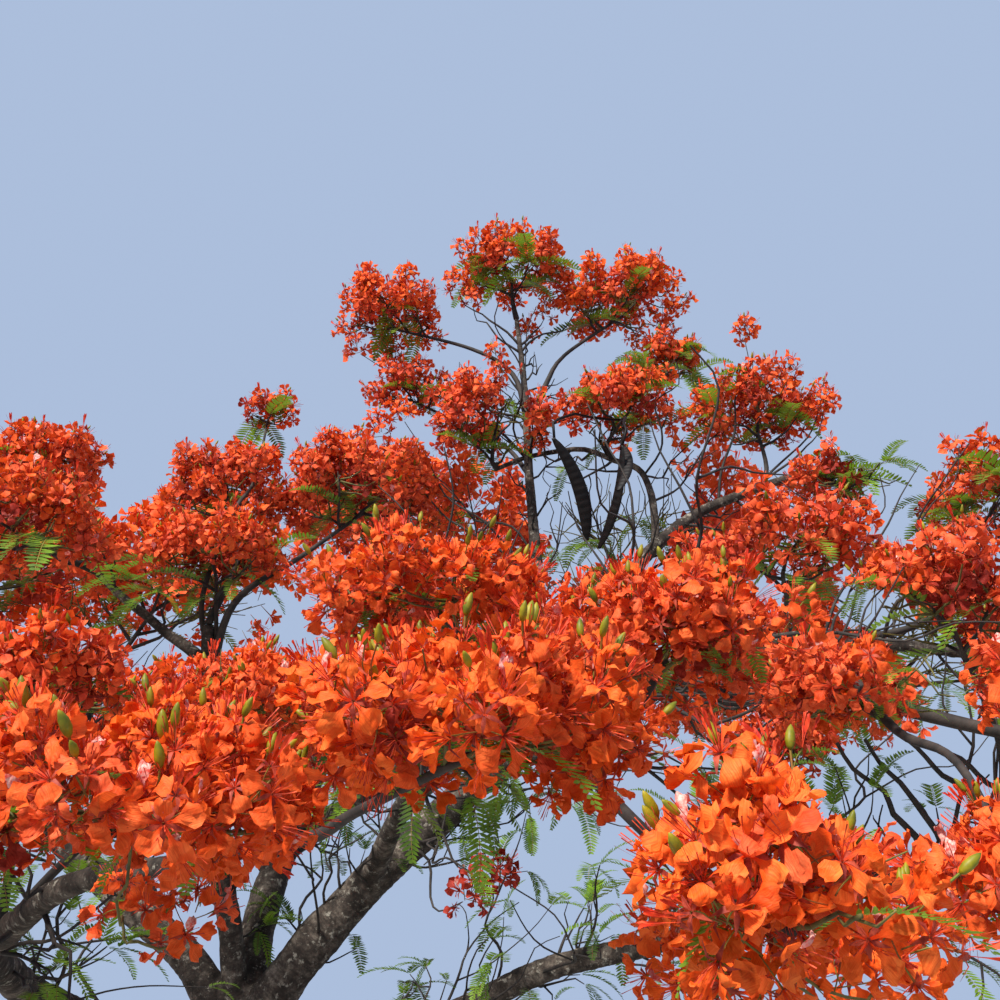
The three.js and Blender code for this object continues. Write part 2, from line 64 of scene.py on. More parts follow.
STEPS = 8
CROOK = 16
FLARE = 0.125
FLARE_HEIGHT = 0.21
ROOT_RIDGES = 5
RIDGE_DEPTH = 0.3
TRUNK_SIDES = 60
TRUNK_SPACING = 0.03
BELOW_GROUND = 0.04
# Each limb's parent and how far along it the limb starts, its heading, climb, turn and bend in
# degrees, its length and the radii of its two ends, its seed and how thickly bare twigs grow
LIMB_FIELDS = ("parent", "at", "heading", "climb", "turn", "bend", "length", "radii", "seed", "twiggy")
LIMB_TABLE = [
    ("trunk", None, 0, 70, 85, 0, 0, 1.12, (0.152, 0.128), 1, 1),
    ("right", "trunk", 0.92, -15, 55, 20, -25, 1.66, (0.088, 0.056), 11, 1.5),
    ("leader", "right", 0.98, 95, 75, 15, 0, 2.32, (0.036, 0.014), 12, 1),
    ("right_mid", "right", 0.85, 30, 75, -45, -60, 1.94, (0.048, 0.018), 13, 1),
    ("arc", "right_mid", 0.62, 70, 95, 150, -130, 1.26, (0.017, 0.01), 14, 1),
    ("left_front", "trunk", 0.86, -135, 20, 115, -10, 2.82, (0.066, 0.02), 15, 1),
    ("left_leader", "trunk", 0.96, -130, 80, 35, -10, 1.54, (0.052, 0.024), 16, 0.6),
    ("left_far", "left_leader", 0.9, -175, 35, 15, 10, 0.82, (0.02, 0.012), 18, 0.5),
    ("front", "right", 0.45, -65, 30, -20, -50, 2.62, (0.042, 0.017), 19, 1.3),
    ("front_right", "front", 0.55, -20, 30, -35, -55, 1.04, (0.022, 0.012), 20, 1),
    ("low_right", "trunk", 0.8, -5, 20, -35, -10, 3.38, (0.056, 0.018), 21, 1.6),
    ("right_far", "right", 0.9, -35, 30, 55, -45, 2.36, (0.04, 0.017), 22, 1),
    ("back", "trunk", 0.95, 85, 70, -5, -75, 3.58, (0.074, 0.02), 24, 1),
    ("back_right", "back", 0.22, 40, 40, -5, -40, 3.08, (0.052, 0.018), 23, 1),
    ("left", "trunk", 0.9, -185, 55, 20, -50, 2.96, (0.072, 0.02), 26, 1),
    ("back_left", "left", 0.2, 120, 35, 20, -20, 2.62, (0.052, 0.018), 25, 1),
]
LIMBS = {name: dict(zip(LIMB_FIELDS, row)) for name, *row in LIMB_TABLE}
THIN_BOUGHS = ("arc", "left_far", "front_right")
BOUGH_SIDES = 20
THIN_BOUGH_SIDES = 10
BOUGH_SPACING = 0.045
COLLAR = 0.3
COLLAR_LENGTH = 0.11
SWELLING = 0.09
SWELLINGS_PER_METRE = 7
BARK_VOXEL = 0.011
BARK_SMOOTHING = 4
LUMP_SIZE = 0.16
LUMP_HEIGHT = 0.075
LUMP_RADIUS = 0.12
WRINKLE_SIZE = 0.017
WRINKLE_HEIGHT = 0.0024
WRINKLES_AROUND = 12
SCAR_SIZE = 0.05
SCAR_HEIGHT = 0.004
SCAR_LEVEL = 0.35
SCAR_RISE = 0.3
RELIEF_RADIUS = 0.05
LEAST_RELIEF = 0.2


def dice(seed):
    """A repeatable run of numbers from 0 to 1, the same as the source's for the same seed."""
    mask = 0xFFFFFFFF
    state = seed & mask

    def roll():
        nonlocal state
        state = (state + 0x6D2B79F5) & mask
        mixed = ((state ^ (state >> 15)) * (1 | state)) & mask
        mixed = ((mixed + (((mixed ^ (mixed >> 7)) * (61 | mixed)) & mask)) & mask) ^ mixed
        return (mixed ^ (mixed >> 14)) / 2 ** 32

    return roll


def direction(heading, climb):
    h, c = math.radians(heading), math.radians(climb)
    return Vector((math.cos(h) * math.cos(c), math.sin(h) * math.cos(c), math.sin(c)))


def grow_path(start, limb):
    roll = dice(limb["seed"])
    path = [start.copy()]
    for step in range(STEPS):
        share = (step + 0.5) / STEPS
        heading = limb["heading"] + limb["turn"] * share + CROOK * (roll() - 0.5)
        climb = limb["climb"] + limb["bend"] * share + CROOK * (roll() - 0.5)
        path.append(path[-1] + direction(heading, climb) * (limb["length"] / STEPS))
    return path


def point_along(path, share):
    steps = len(path) - 1
    step = min(int(share * steps), steps - 1)
    return path[step].lerp(path[step + 1], share * steps - step)


def eased(path, spacing):
    """A smooth curve through the corners of a path: its points and how far along each one is."""
    points, shares = [], []
    steps = len(path) - 1
    ends = [path[0] * 2 - path[1], *path, path[-1] * 2 - path[-2]]
    for step in range(steps):
        a, b, c, d = ends[step:step + 4]
        count = max(1, round((c - b).length / spacing))
        for k in range(count):
            t = k / count
            points.append(
                0.5 * (2 * b + (c - a) * t + (2 * a - 5 * b + 4 * c - d) * t ** 2
                       + (3 * b - a - 3 * c + d) * t ** 3)
            )
            shares.append((step + t) / steps)
    return [*points, path[-1].copy()], [*shares, 1.0]


class Pile:
    """Corners and faces that are gathered for one joined mesh. A corner's mark is its place on
    a straightened limb, or on a petal or leaf spread flat."""

    def __init__(self):
        self.points, self.faces, self.marks, self.parts = [], [], [], []

    def add(self, points, faces, marks, part=0):
        first = len(self.points)
        self.points += points
        self.marks += marks
        self.faces += [[first + corner for corner in face] for face in faces]
        self.parts += [part] * len(faces)

    def mesh(self, name):
        made = bpy.data.meshes.new(name)
        made.from_pydata(self.points, [], self.faces, shade_flat=False)
        grain = made.attributes.new("grain", "FLOAT_VECTOR", "POINT")
        grain.data.foreach_set("vector", np.array(self.marks, np.float32).ravel())
        part = made.attributes.new("part", "INT", "FACE")
        part.data.foreach_set("value", np.array(self.parts, np.int32))
        return made


def frames_along(path):
    """The way that a path runs at each of its points, and two directions square to it."""
    side = None
    for i, point in enumerate(path):
        way = (path[min(i + 1, len(path) - 1)] - path[max(i - 1, 0)]).normalized()
        side = way.orthogonal() if side is None else side
        side = (side - way * side.dot(way)).normalized()
        yield way, side, way.cross(side)


def add_tube(pile, path, radii, sides, part=0, open_end=False):
    """A round limb along a path, closed at both ends, with its marks in metres along the limb."""
    points, marks, length = [], [], 0
    for i, (way, side, up) in enumerate(frames_along(path)):
        length += (path[i] - path[i - 1]).length if i else 0
        for k in range(sides):
            turn = 2 * math.pi * k / sides
            x, y = radii[i] * math.cos(turn), radii[i] * math.sin(turn)
            points.append(path[i] + side * x + up * y)
            marks.append((x, y, length))
    faces = []
    for i in range(len(path) - 1):
        for k in range(sides):
            a, b = i * sides + k, i * sides + (k + 1) % sides
            faces.append((a, b, b + sides, a + sides))
    faces.append(tuple(reversed(range(sides))))
    if not open_end:
        faces.append(tuple(range(len(points) - sides, len(points))))
    pile.add(points, faces, marks, part)


def new_piece(name, mesh, material=None):
    piece = bpy.data.objects.new(name, mesh)
    bpy.context.scene.collection.objects.link(piece)
    if material is not None:
        piece.data.materials.append(material)
    return piece


def settled(piece):
    """Turns what a piece's modifiers make of it into its plain mesh."""
    bpy.context.view_layer.update()
    shown = piece.evaluated_get(bpy.context.evaluated_depsgraph_get())
    mesh = bpy.data.meshes.new_from_object(shown)
    piece.modifiers.clear()
    piece.data = mesh
    return mesh


for name, limb in LIMBS.items():
    start = point_along(LIMBS[limb["parent"]]["path"], limb["at"]) if limb["parent"] else Vector()
    limb["path"] = grow_path(start, limb)
    limb["curve"], limb["shares"] = eased(limb["path"], BOUGH_SPACING)


def bough_radii(limb):
    """A bough tapers evenly, swells here and there, and leaves its parent with a collar."""
    base, tip = limb["radii"]
    radii, length = [], 0
    for i, share in enumerate(limb["shares"]):
        length += (limb["curve"][i] - limb["curve"][i - 1]).length if i else 0
        swelling = 1 + SWELLING * noise.noise(Vector((length * SWELLINGS_PER_METRE, limb["seed"], 0)))
        collar = 1 + COLLAR * math.exp(-length / COLLAR_LENGTH)
        radii.append((base + (tip - base) * share) * swelling * collar)
    return radii


def add_trunk(pile, limb):
    """The trunk's rings stay level, so its foot is flat, and ridges run down into the roots."""
    top = limb["path"][-1].z
    heights = [-BELOW_GROUND + TRUNK_SPACING * i for i in range(int((top + BELOW_GROUND) / TRUNK_SPACING))]
    points, marks = [], []
    for height in heights:
        share = min(max(height / top, 0), 1)
        centre = point_along(limb["path"], share)
        flare = math.exp(-max(height, 0) / FLARE_HEIGHT)
        plain = limb["radii"][0] + (limb["radii"][1] - limb["radii"][0]) * share
        for k in range(TRUNK_SIDES):
            turn = 2 * math.pi * k / TRUNK_SIDES
            ridge = 1 + RIDGE_DEPTH * flare * math.cos(ROOT_RIDGES * turn)
            radius = (plain + FLARE * flare) * ridge
            offset = Vector((radius * math.cos(turn), -radius * math.sin(turn), 0))
            points.append(Vector((centre.x, centre.y, height)) + offset)
            marks.append((offset.x, offset.y, height))
    sides = TRUNK_SIDES
    faces = [tuple(range(sides)), tuple(reversed(range(len(points) - sides, len(points))))]
    for i in range(len(heights) - 1):
        for k in range(sides):
            a, b = i * sides + k, i * sides + (k + 1) % sides
            faces.append((a, a + sides, b + sides, b))
    pile.add(points, faces, marks)


def follow_limbs(mesh):
    """Finds each corner's place on its straightened limb, and raises the bark's relief there."""
    samples = []
    for limb in LIMBS.values():
        length = limb["seed"]
        for i, (way, side, up) in enumerate(frames_along(limb["curve"])):
            length += (limb["curve"][i] - limb["curve"][i - 1]).length if i else 0
            samples.append((limb["curve"][i], side, up, length))
    tree = kdtree.KDTree(len(samples))
    for index, sample in enumerate(samples):
        tree.insert(sample[0], index)
    tree.balance()
    marks, moved = [], []
    for corner in mesh.vertices:
        place = corner.co
        _, index, radius = tree.find(place)
        point, side, up, length = samples[index]
        offset = place - point
        mark = Vector((offset.dot(side), offset.dot(up), length + offset.dot(side.cross(up))))
        marks.append(mark)
        lump = noise.noise(place / LUMP_SIZE) * LUMP_HEIGHT * min(radius, LUMP_RADIUS)
        ring = Vector((mark.x * WRINKLES_AROUND, mark.y * WRINKLES_AROUND, mark.z / WRINKLE_SIZE))
        wrinkle = noise.noise(ring) * WRINKLE_HEIGHT
        scar = max(0, noise.noise(mark / SCAR_SIZE) - SCAR_LEVEL) * SCAR_HEIGHT / SCAR_RISE
        height = (lump + wrinkle + scar) * min(1, radius / RELIEF_RADIUS + LEAST_RELIEF)
        push = corner.normal * height
        if place.z < TRUNK_SPACING:
            push.z = 0
        moved.append(place + push)
    mesh.vertices.foreach_set("co", np.array(moved, np.float32).ravel())
    grain = mesh.attributes.get("grain") or mesh.attributes.new("grain", "FLOAT_VECTOR", "POINT")
    grain.data.foreach_set("vector", np.array(marks, np.float32).ravel())
    mesh.update()


thick = Pile()
for name, limb in LIMBS.items():
    if name == "trunk":
        add_trunk(thick, limb)
    elif name not in THIN_BOUGHS:
        add_tube(thick, limb["curve"], bough_radii(limb), BOUGH_SIDES)
bark = new_piece("bark", thick.mesh("bark"))
blend = bark.modifiers.new("blend", "REMESH")
blend.mode = "VOXEL"
blend.voxel_size = BARK_VOXEL
blend.use_smooth_shade = True
soften = bark.modifiers.new("soften", "SMOOTH")
soften.iterations = BARK_SMOOTHING
settled(bark)

skin = bmesh.new()
skin.from_mesh(bark.data)
cut = bmesh.ops.bisect_plane(
    skin, geom=skin.verts[:] + skin.edges[:] + skin.faces[:],
    plane_co=(0, 0, 0), plane_no=(0, 0, 1), clear_inner=True,
)
rim = [part for part in cut["geom_cut"] if isinstance(part, bmesh.types.BMEdge)]
bmesh.ops.holes_fill(skin, edges=rim)
skin.to_mesh(bark.data)
skin.free()
follow_limbs(bark.data)

thin = Pile()
for name in THIN_BOUGHS:
    add_tube(thin, LIMBS[name]["curve"], bough_radii(LIMBS[name]), THIN_BOUGH_SIDES)
thin_boughs = new_piece("thin_boughs", thin.mesh("thin_boughs"))
follow_limbs(thin_boughs.data)


class Wire:
    """One output of a material's or a scatterer's nodes. Arithmetic on it adds the nodes that
    work it out, as vectors where this output is one."""

    def __init__(self, tree, socket=None):
        self.tree, self.socket = tree, socket

    def node(self, kind, settings, sockets, output=0):
        made = self.tree.nodes.new(kind)
        for name, value in settings.items():
            if name == "stops":
                ramp = made.color_ramp.elements
                while len(ramp) < len(value):
                    ramp.new(0.5)
                for stop, (place, shade) in zip(ramp, value):
                    stop.position, stop.color = place, shade
            else:
                setattr(made, name, value)
        for name, value in sockets.items():
            if isinstance(value, Wire):
                self.tree.links.new(value.socket, made.inputs[name])
            else:
                made.inputs[name].default_value = value
        return Wire(self.tree, made.outputs[output] if made.outputs else None)

    def maths(self, operation, other):
        kind = "ShaderNodeVectorMath" if self.socket.type == "VECTOR" else "ShaderNodeMath"
        return self.node(kind, {"operation": operation}, {0: self, 1: other})

    def __add__(self, other):
        return self.maths("ADD", other)

    def __mul__(self, other):
        return self.maths("MULTIPLY", other)

    __radd__ = __add__
    __rmul__ = __mul__

    def marks(self):
        """A corner's place on its straightened limb or on its petal or leaf."""
        return self.node("ShaderNodeAttribute", {"attribute_name": "grain"}, {}, 1)

    def places(self):
        return self.node("ShaderNodeTexCoord", {}, {}, 3)

    def part(self, axis):
        return self.node("ShaderNodeSeparateXYZ", {}, {0: self}, axis)

    def ramp(self, *stops):
        """Maps a number to colours or, with plain numbers, to greys."""
        shades = [
            (place, shade if hasattr(shade, "__len__") else (shade, shade, shade, 1))
            for place, shade in stops
        ]
        return self.node("ShaderNodeValToRGB", {"stops": shades}, {0: self})

    def mix(self, first, second):
        """From the first colour to the second as this number goes from 0 to 1."""
        return self.node("ShaderNodeMix", {"data_type": "RGBA"}, {0: self, 6: first, 7: second}, 2)

    def grain(self, size, detail=3.0, roughness=0.55):
        """Noise on this vector, with features of that size."""
        sockets = {"Vector": self, "Scale": 1 / size, "Detail": detail, "Roughness": roughness}
        return self.node("ShaderNodeTexNoise", {}, sockets)

    def finish(self, base, relief, roughness, shine, glow=0, through=None):
        """Closes a material: its colour, its relief as height, strength and distance, and how
        much light of what colour comes through it."""
        bump = self.node("ShaderNodeBump", {}, dict(zip(("Height", "Strength", "Distance"), relief)))
        shader = self.node("ShaderNodeBsdfPrincipled", {}, {
            "Base Color": base, "Roughness": roughness, "Specular IOR Level": shine, "Normal": bump,
        })
        if glow:
            lit = self.node("ShaderNodeBsdfTranslucent", {}, {"Color": through})
            shader = self.node("ShaderNodeMixShader", {}, {0: glow, 1: shader, 2: lit})
        self.node("ShaderNodeOutputMaterial", {}, {"Surface": shader})


def colour(code):
    """A colour from its hexadecimal code."""
    shades = [int(code[i:i + 2], 16) / 255 for i in (0, 2, 4)]
    return (*(((s + 0.055) / 1.055) ** 2.4 if s > 0.04045 else s / 12.92 for s in shades), 1)


def new_material(name):
    made = bpy.data.materials.new(name)
    made.use_nodes = True
    made.node_tree.nodes.clear()
    return made, Wire(made.node_tree)


BARK_DARK = colour("211c18")
BARK_MIDDLE = colour("453c35")
BARK_LIGHT = colour("7d7266")
LICHEN = colour("a09a8c")
# The size, detail and roughness of each pattern in the bark
BARK_PATCHES = (0.07, 6, 0.68)
BARK_GRAIN = (0.009, 4, 0.7)
BARK_RINGS = (1.0, 3, 0.6)
BARK_CRUSTS = (0.028, 5, 0.72)
RING_SCALE = (16, 16, 80)


def bark_material():
    made, start = new_material("bark")
    place = start.places()
    patches = place.grain(*BARK_PATCHES)
    fine = place.grain(*BARK_GRAIN)
    rings = (start.marks() * RING_SCALE).grain(*BARK_RINGS)
    crusts = place.grain(*BARK_CRUSTS)
    base = patches.ramp((0.34, BARK_DARK), (0.5, BARK_MIDDLE), (0.68, BARK_LIGHT))
    base = rings.ramp((0.45, 0.0), (0.66, 0.6)).mix(base, BARK_DARK)
    base = fine.ramp((0.38, 0.5), (0.56, 0.0)).mix(base, BARK_DARK)
    base = crusts.ramp((0.57, 0.0), (0.66, 0.75)).mix(base, LICHEN)
    height = rings * 0.35 + fine * 0.35 + crusts * 0.5
    dullness = fine.ramp((0.3, 0.78), (0.7, 0.95))
    start.finish(base, (height, 0.9, 0.008), roughness=dullness, shine=0.25)
    return made


def hand_over(piece, nodes):
    """Tells the frame what a piece rides on, which nodes it stands for."""
    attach(piece, "root")
    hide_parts(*nodes)


BARK = bark_material()
for piece in (bark, thin_boughs):
    piece.data.materials.clear()
    piece.data.materials.append(BARK)
thick_boughs = [name for name in LIMBS if name != "trunk" and name not in THIN_BOUGHS]
hand_over(bark, ["trunk", *(f"bough_{name}" for name in thick_boughs)])
hand_over(thin_boughs, [f"bough_{name}" for name in THIN_BOUGHS])


# Stems and twigs. Each foliage mass hangs on one stem from a bough. Twigs leave the stem for
# the heads of blossom, and finer ones leave those for the flowering shoots. Their bark is thin,
# dark and smooth, greener towards the tips, and they are one joined piece.

UP = Vector((0, 0, 1))
SQUASH = 0.62
FIRST_MASS_SEED = 101
CROWN_SEED = 1000
SHOOT_SEED = 2000
SEEDS_PER_MASS = 1000
# Each mass's bough and how far along it the stem starts, the heading, climb and reach of its
# middle, its size, and how deep its red is, where 0 is orange and 4 is maroon; that depth is partly
# the blossom's own tint and partly painted light and shade, orange on the near, lit masses and
# deeper red on those behind and inside. Some have values of their own for tufts of leaves, the
# size of the bloom, how far the shoots sink, how narrow and how dense they stand, how many fronds
# there are, and how high the layer of shoots reaches.
MASS_FIELDS = ("on", "at", "heading", "climb", "reach", "size", "tint")
MASS_TABLE = [
    ("top", "leader", 1, -160, 85, 0.3, 0.35, 0.8, dict(leaves=4)),
    ("top_left", "leader", 0.72, 166, 42, 1.0, 0.36, 1.0, {}),
    ("top_hanging", "leader", 0.58, 160, 40, 0.86, 0.24, 1.5, {}),
    ("top_right", "leader", 0.7, 25, 55, 1.0, 0.4, 0.9, {}),
    ("top_leafy", "leader", 0.55, 15, 45, 1.04, 0.25, 1.3, dict(leaves=4)),
    ("left_crest", "left_leader", 0.93, 87, 67, 1.38, 0.18, 1.6, {}),
    ("left_high", "left_leader", 1, 103, 59, 0.795, 0.37, 1.6, {}),
    ("left_inner", "left_leader", 0.84, 40, 55, 1.16, 0.44, 1.6, {}),
    ("middle_high", "arc", 1, -95, 55, 0.24, 0.35, 1.6, {}),
    ("middle_right", "arc", 0.5, -84, 38, 0.28, 0.33, 1.6, {}),
    ("right_high", "right_mid", 0.85, 44, 67, 0.51, 0.37, 1.5, dict(leaves=1)),
    ("right_shoulder", "right_mid", 1, -37, -21, 0.215, 0.32, 1.8, {}),
    ("right_crest", "right_far", 0.6, 6, 44, 0.89, 0.35, 2, dict(leaves=3)),
    ("right_middle", "right_far", 0.4, -90, 10, 0.84, 0.33, 2.0, {}),
    ("right_lower", "low_right", 0.8, -105, 45, 0.96, 0.35, 1.9, {}),
    ("right_inner", "low_right", 0.6, 65, 40, 0.96, 0.3, 2.6, dict(leaves=1)),
    ("far_left_high", "left_far", 1, 168, 74, 0.245, 0.33, 1.6, {}),
    ("far_left", "left_far", 0.7, -90, -5, 0.7, 0.34, 1.4, dict(leaves=1)),
    ("left_middle", "left_leader", 0.72, -90, 75, 0.68, 0.34, 1.4, dict(leaves=1)),
    ("left_outer", "left_front", 0.55, -65, 55, 0.88, 0.32, 1.2, dict(sink=0.08)),
    ("left_near", "left_front", 0.7, -10, 45, 0.82, 0.3, 0.9, dict(leaves=1, bloom=0.74, sink=0.08)),
    ("front_high", "front", 0.85, -135, 35, 0.4, 0.3, 0.7, dict(bloom=0.74, sink=0.06)),
    ("front_middle", "front", 1, 10, 55, 0.3, 0.31, 0.7, dict(bloom=0.76, sink=0.04, layer=0.7)),
    ("front_outer", "front_right", 1, -75, -15, 0.24, 0.29, 1.2, dict(bloom=0.76)),
    ("near_middle", "left_front", 1, -55, 10, 0.94, 0.3, 0.3, dict(leaves=2, bloom=0.66, sink=0.03)),
    ("near_left", "left_front", 0.95, -75, 5, 0.96, 0.29, 0.4, dict(leaves=1, bloom=0.6, sink=0.03)),
    (
        "near_right", "front", 0.95, -80, -15, 0.96, 0.23, -0.8,
        dict(leaves=1, bloom=0.72, sink=0.01, narrow=0.65, dense=1.8, fronds=0.3, layer=1.2),
    ),
    (
        "near_right_outer", "front_right", 0.8, -85, -25, 1.18, 0.23, 0.5,
        dict(bloom=0.72, sink=0.02, dense=1.3, fronds=0.4, layer=0.9),
    ),
    ("back_right_rim", "back_right", 1, 35, 0, 0.56, 0.9, 1.5, dict(leaves=1)),
    ("back_right_high", "back_right", 0.6, -5, 65, 1.02, 0.8, 1.6, {}),
    ("right_rim", "back_right", 0.7, -20, 5, 1.62, 0.86, 1.6, {}),
    ("back_rim", "back", 1, 70, -10, 0.48, 0.9, 1.3, dict(leaves=1)),
    ("back_high", "back", 0.6, 40, 70, 1.06, 0.82, 1.5, {}),
    ("back_left_rim", "back_left", 1, 135, 0, 0.4, 0.88, 1.5, {}),
    ("back_left_high", "back_left", 0.55, 50, 75, 1.04, 0.78, 1.3, {}),
    ("back_left_inner", "back_left", 0.75, 65, 10, 1.38, 0.82, 1.5, {}),
    ("left_rim", "left", 1, 125, -5, 0.7, 0.88, 1.3, dict(leaves=1)),
    ("left_top", "left", 0.6, 115, 60, 1.02, 0.76, 1.5, {}),
    ("left_front_rim", "left", 0.75, -115, 0, 1.14, 0.84, 1.2, {}),
    ("front_left", "left_front", 0.4, -130, 40, 1.42, 0.68, 0.9, {}),
    ("front_left_rim", "left_front", 0.65, -105, 20, 1.22, 0.66, 0.6, {}),
    ("far_right_rim", "right_far", 1, 20, 5, 0.48, 0.74, 1.7, {}),
    ("low_right_rim", "low_right", 1, -35, 15, 0.48, 0.7, 1.4, {}),
    ("front_right_rim", "front_right", 0.9, -30, -10, 1.02, 0.62, 0.9, dict(leaves=1)),
]
MASSES = {name: dict(zip(MASS_FIELDS, row), **own) for name, *row, own in MASS_TABLE}
STEM_BASE = 0.009
STEM_PER_SIZE = 0.02
STEM_STEP = 0.34
STEM_TAPER = 0.7
STEM_CROOK = 0.05
STEM_SWEEP = 0.4
STEM_BOWS = (0, 0.2, -0.2, 0.4, -0.4, 0.6, -0.6)
STEM_SPACING = 0.05
STEM_TIP = 0.4
STEM_SIDES = 8
SAMPLE_SPACING = 0.015
HUB_DROP = 0.3
CLEARANCE = 0.004
TWIG_OFFSET = 0.3
TWIG_STRETCH = 0.8
SHORTEST_STRETCH = 0.05
STRETCH_STEP = 0.93
LONE_TWIG_ROOT = 0.8
TWIG_SIDES = 5
FEWEST_HEADS = 3.6
SIZE_PER_HEAD = 0.25
HEAD_COVER = 1.45
GOLDEN_ANGLE = 137.508
LOWEST_HEAD = 118
HEAD_UPTURN = 0.55
HEAD_INSET = 0.35
SMALLEST_HEAD = 0.72
LEAST_LEAN = 0.4
NECK_DROP = 0.3
# How far out a head or a shoot is tried, from the rim of its mass inwards
TRY_STEP = 0.07
TRIES = [1 - TRY_STEP * k for k in range(8)]

# A shoot is a flowering tip with its own ball of flowers
FEWEST_SHOOTS = 4
SHOOT_INSET = 0.085
LEAST_DOME = 0.1
LAYER_HEIGHT = {"near": 0.5, "front": 0.95, "far": 1}
SMALL_MASS = 0.5
SHOOT_AREA = 0.029
BLOOM = {"near": 0.76, "front": 0.77, "far": 1.3}
DOME_SHARE = 0.8
INNER_SHOOTS = {"near": 0.14, "front": 0.35, "far": 0.35}
SHOOT_SCATTER = 34
CLIMB_SCATTER = 20.4
LAST_SHARE = 0.99
STEEPEST = 88
OUTER_DEPTHS = (1.03, 0.69)
DEPTH_POWER = 1.6
INNER_DEPTHS = (0.3, 0.7)
ALONG_TWIG = (0.3, 0.9)
SHOOT_BASE = 0.6
SHOOT_AXIS = 0.09
GAP_SIZE = 0.15
GAP_LEVEL = -0.27
FINE_TWIG = (0.0045, 0.0024)
FINE_TWIG_SIDES = 4
THINNEST = 0.0018
NEAR_TWIG = 0.6
# Masses close enough to the viewpoint to show each petal
NEAR_MASSES = (
    "near_middle", "near_left", "near_right", "near_right_outer", "front_high", "front_middle",
    "front_outer", "left_near",
)


def within(span, roll):
    """A number between the two of a span."""
    return span[0] + (span[1] - span[0]) * roll()


def jitter(roll):
    """A small step any way, up to a half along each axis."""
    return Vector((roll() - 0.5, roll() - 0.5, roll() - 0.5))


def stretched(point):
    """The place of a point in a space that is stretched until every mass is round."""
    return Vector((point.x, point.y, point.z / SQUASH))


for index, (name, mass) in enumerate(MASSES.items()):
    limb = LIMBS[mass["on"]]
    mass["detail"] = "near" if name in NEAR_MASSES else "front" if mass["size"] < SMALL_MASS else "far"
    mass["bloom"] = mass.get("bloom", BLOOM[mass["detail"]])
    mass["sunk"] = Vector((0, 0, -mass.get("sink", 0)))
    mass["seed"] = FIRST_MASS_SEED + index
    mass["start"] = point_along(limb["path"], mass["at"])
    mass["middle"] = mass["start"] + direction(mass["heading"], mass["climb"]) * mass["reach"]
    mass["hub"] = mass["middle"] - Vector((0, 0, HUB_DROP * SQUASH * mass["size"]))
    mass["stem_radius"] = STEM_BASE + STEM_PER_SIZE * mass["size"]
    mass["heads"] = round(FEWEST_HEADS + mass["size"] / SIZE_PER_HEAD)
    mass["head_radius"] = mass["size"] * math.sqrt(HEAD_COVER / mass["heads"])


def borders(mass):
    """The flat borders between a mass's space and those of its neighbours."""
    found = []
    for other in MASSES.values():
        if other is not mass:
            way = stretched(other["middle"]) - stretched(mass["middle"])
            distance = way.length
            reach = (distance ** 2 + mass["size"] ** 2 - other["size"] ** 2) / (2 * distance)
            if reach < mass["size"]:
                found.append((way.normalized(), reach))
    return found


def keeps_to_space(mass, point, margin=CLEARANCE):
    offset = stretched(point) - stretched(mass["middle"])
    inside = offset.length < mass["size"] - margin
    return inside and all(offset.dot(way) < reach - margin for way, reach in mass["borders"])


def stem_path(mass, bow):
    """A stem leaves its bough the way the bough grows and bends over to its mass's hub."""
    path = LIMBS[mass["on"]]["path"]
    along = (point_along(path, mass["at"]) - point_along(path, mass["at"] - 0.5 / STEPS)).normalized()
    start, hub = mass["start"], mass["hub"]
    length = (hub - start).length
    side = (hub - start).cross(UP).normalized()
    control = start + along * (STEM_SWEEP * length) + side * (bow * length)
    roll = dice(mass["seed"])
    steps = max(2, math.floor(length / STEM_STEP + 0.5))
    points = []
    for i in range(steps + 1):
        t = i / steps
        point = start * (1 - t) ** 2 + control * (2 * t * (1 - t)) + hub * t ** 2
        if 0 < i < steps:
            point += jitter(roll) * (2 * STEM_CROOK * length)
        points.append(point)
    return points


def sampled(path, radii):
    """Points along a path, each with the limb's radius there."""
    found = []
    steps = len(path) - 1
    for i in range(steps):
        count = max(1, int((path[i + 1] - path[i]).length / SAMPLE_SPACING))
        for k in range(count):
            share = (i + k / count) / steps
            found.append((*path[i].lerp(path[i + 1], k / count), radii[0] + (radii[1] - radii[0]) * share))
    found.append((*path[-1], radii[1]))
    return np.array(found)


def least_gap(first, second):
    """The gap between each of the first limb's points and the nearest of the second's."""
    apart = np.linalg.norm(first[:, None, :3] - second[None, :, :3], axis=2)
    return (apart - first[:, None, 3] - second[None, :, 3]).min(axis=1)


limb_samples = {name: sampled(limb["path"], limb["radii"]) for name, limb in LIMBS.items()}
stem_samples = []
for mass in MASSES.values():
    mass["borders"] = borders(mass)
    radii = (mass["stem_radius"], mass["stem_radius"] * STEM_TAPER)
    others = [samples for name, samples in limb_samples.items() if name != mass["on"]] + stem_samples
    around = np.concatenate(others)
    paths = [stem_path(mass, bow) for bow in STEM_BOWS]
    mass["stem"] = paths[0]
    for path in paths:
        samples = sampled(path, radii)
        free = samples[least_gap(samples, limb_samples[mass["on"]]) > CLEARANCE]
        if least_gap(free, around).min() > CLEARANCE:
            mass["stem"] = path
            break
    stem_samples.append(sampled(mass["stem"], radii))


def upright(way, place, root):
    """The way that a head faces: out of its mass and upwards, and not back along its twig."""
    up = Vector((way.x, way.y, way.z / SQUASH)).normalized()
    up.z += HEAD_UPTURN
    up.normalize()
    outward = (place - root).normalized()
    return (up + outward).normalized() if up.dot(outward) < LEAST_LEAN else up


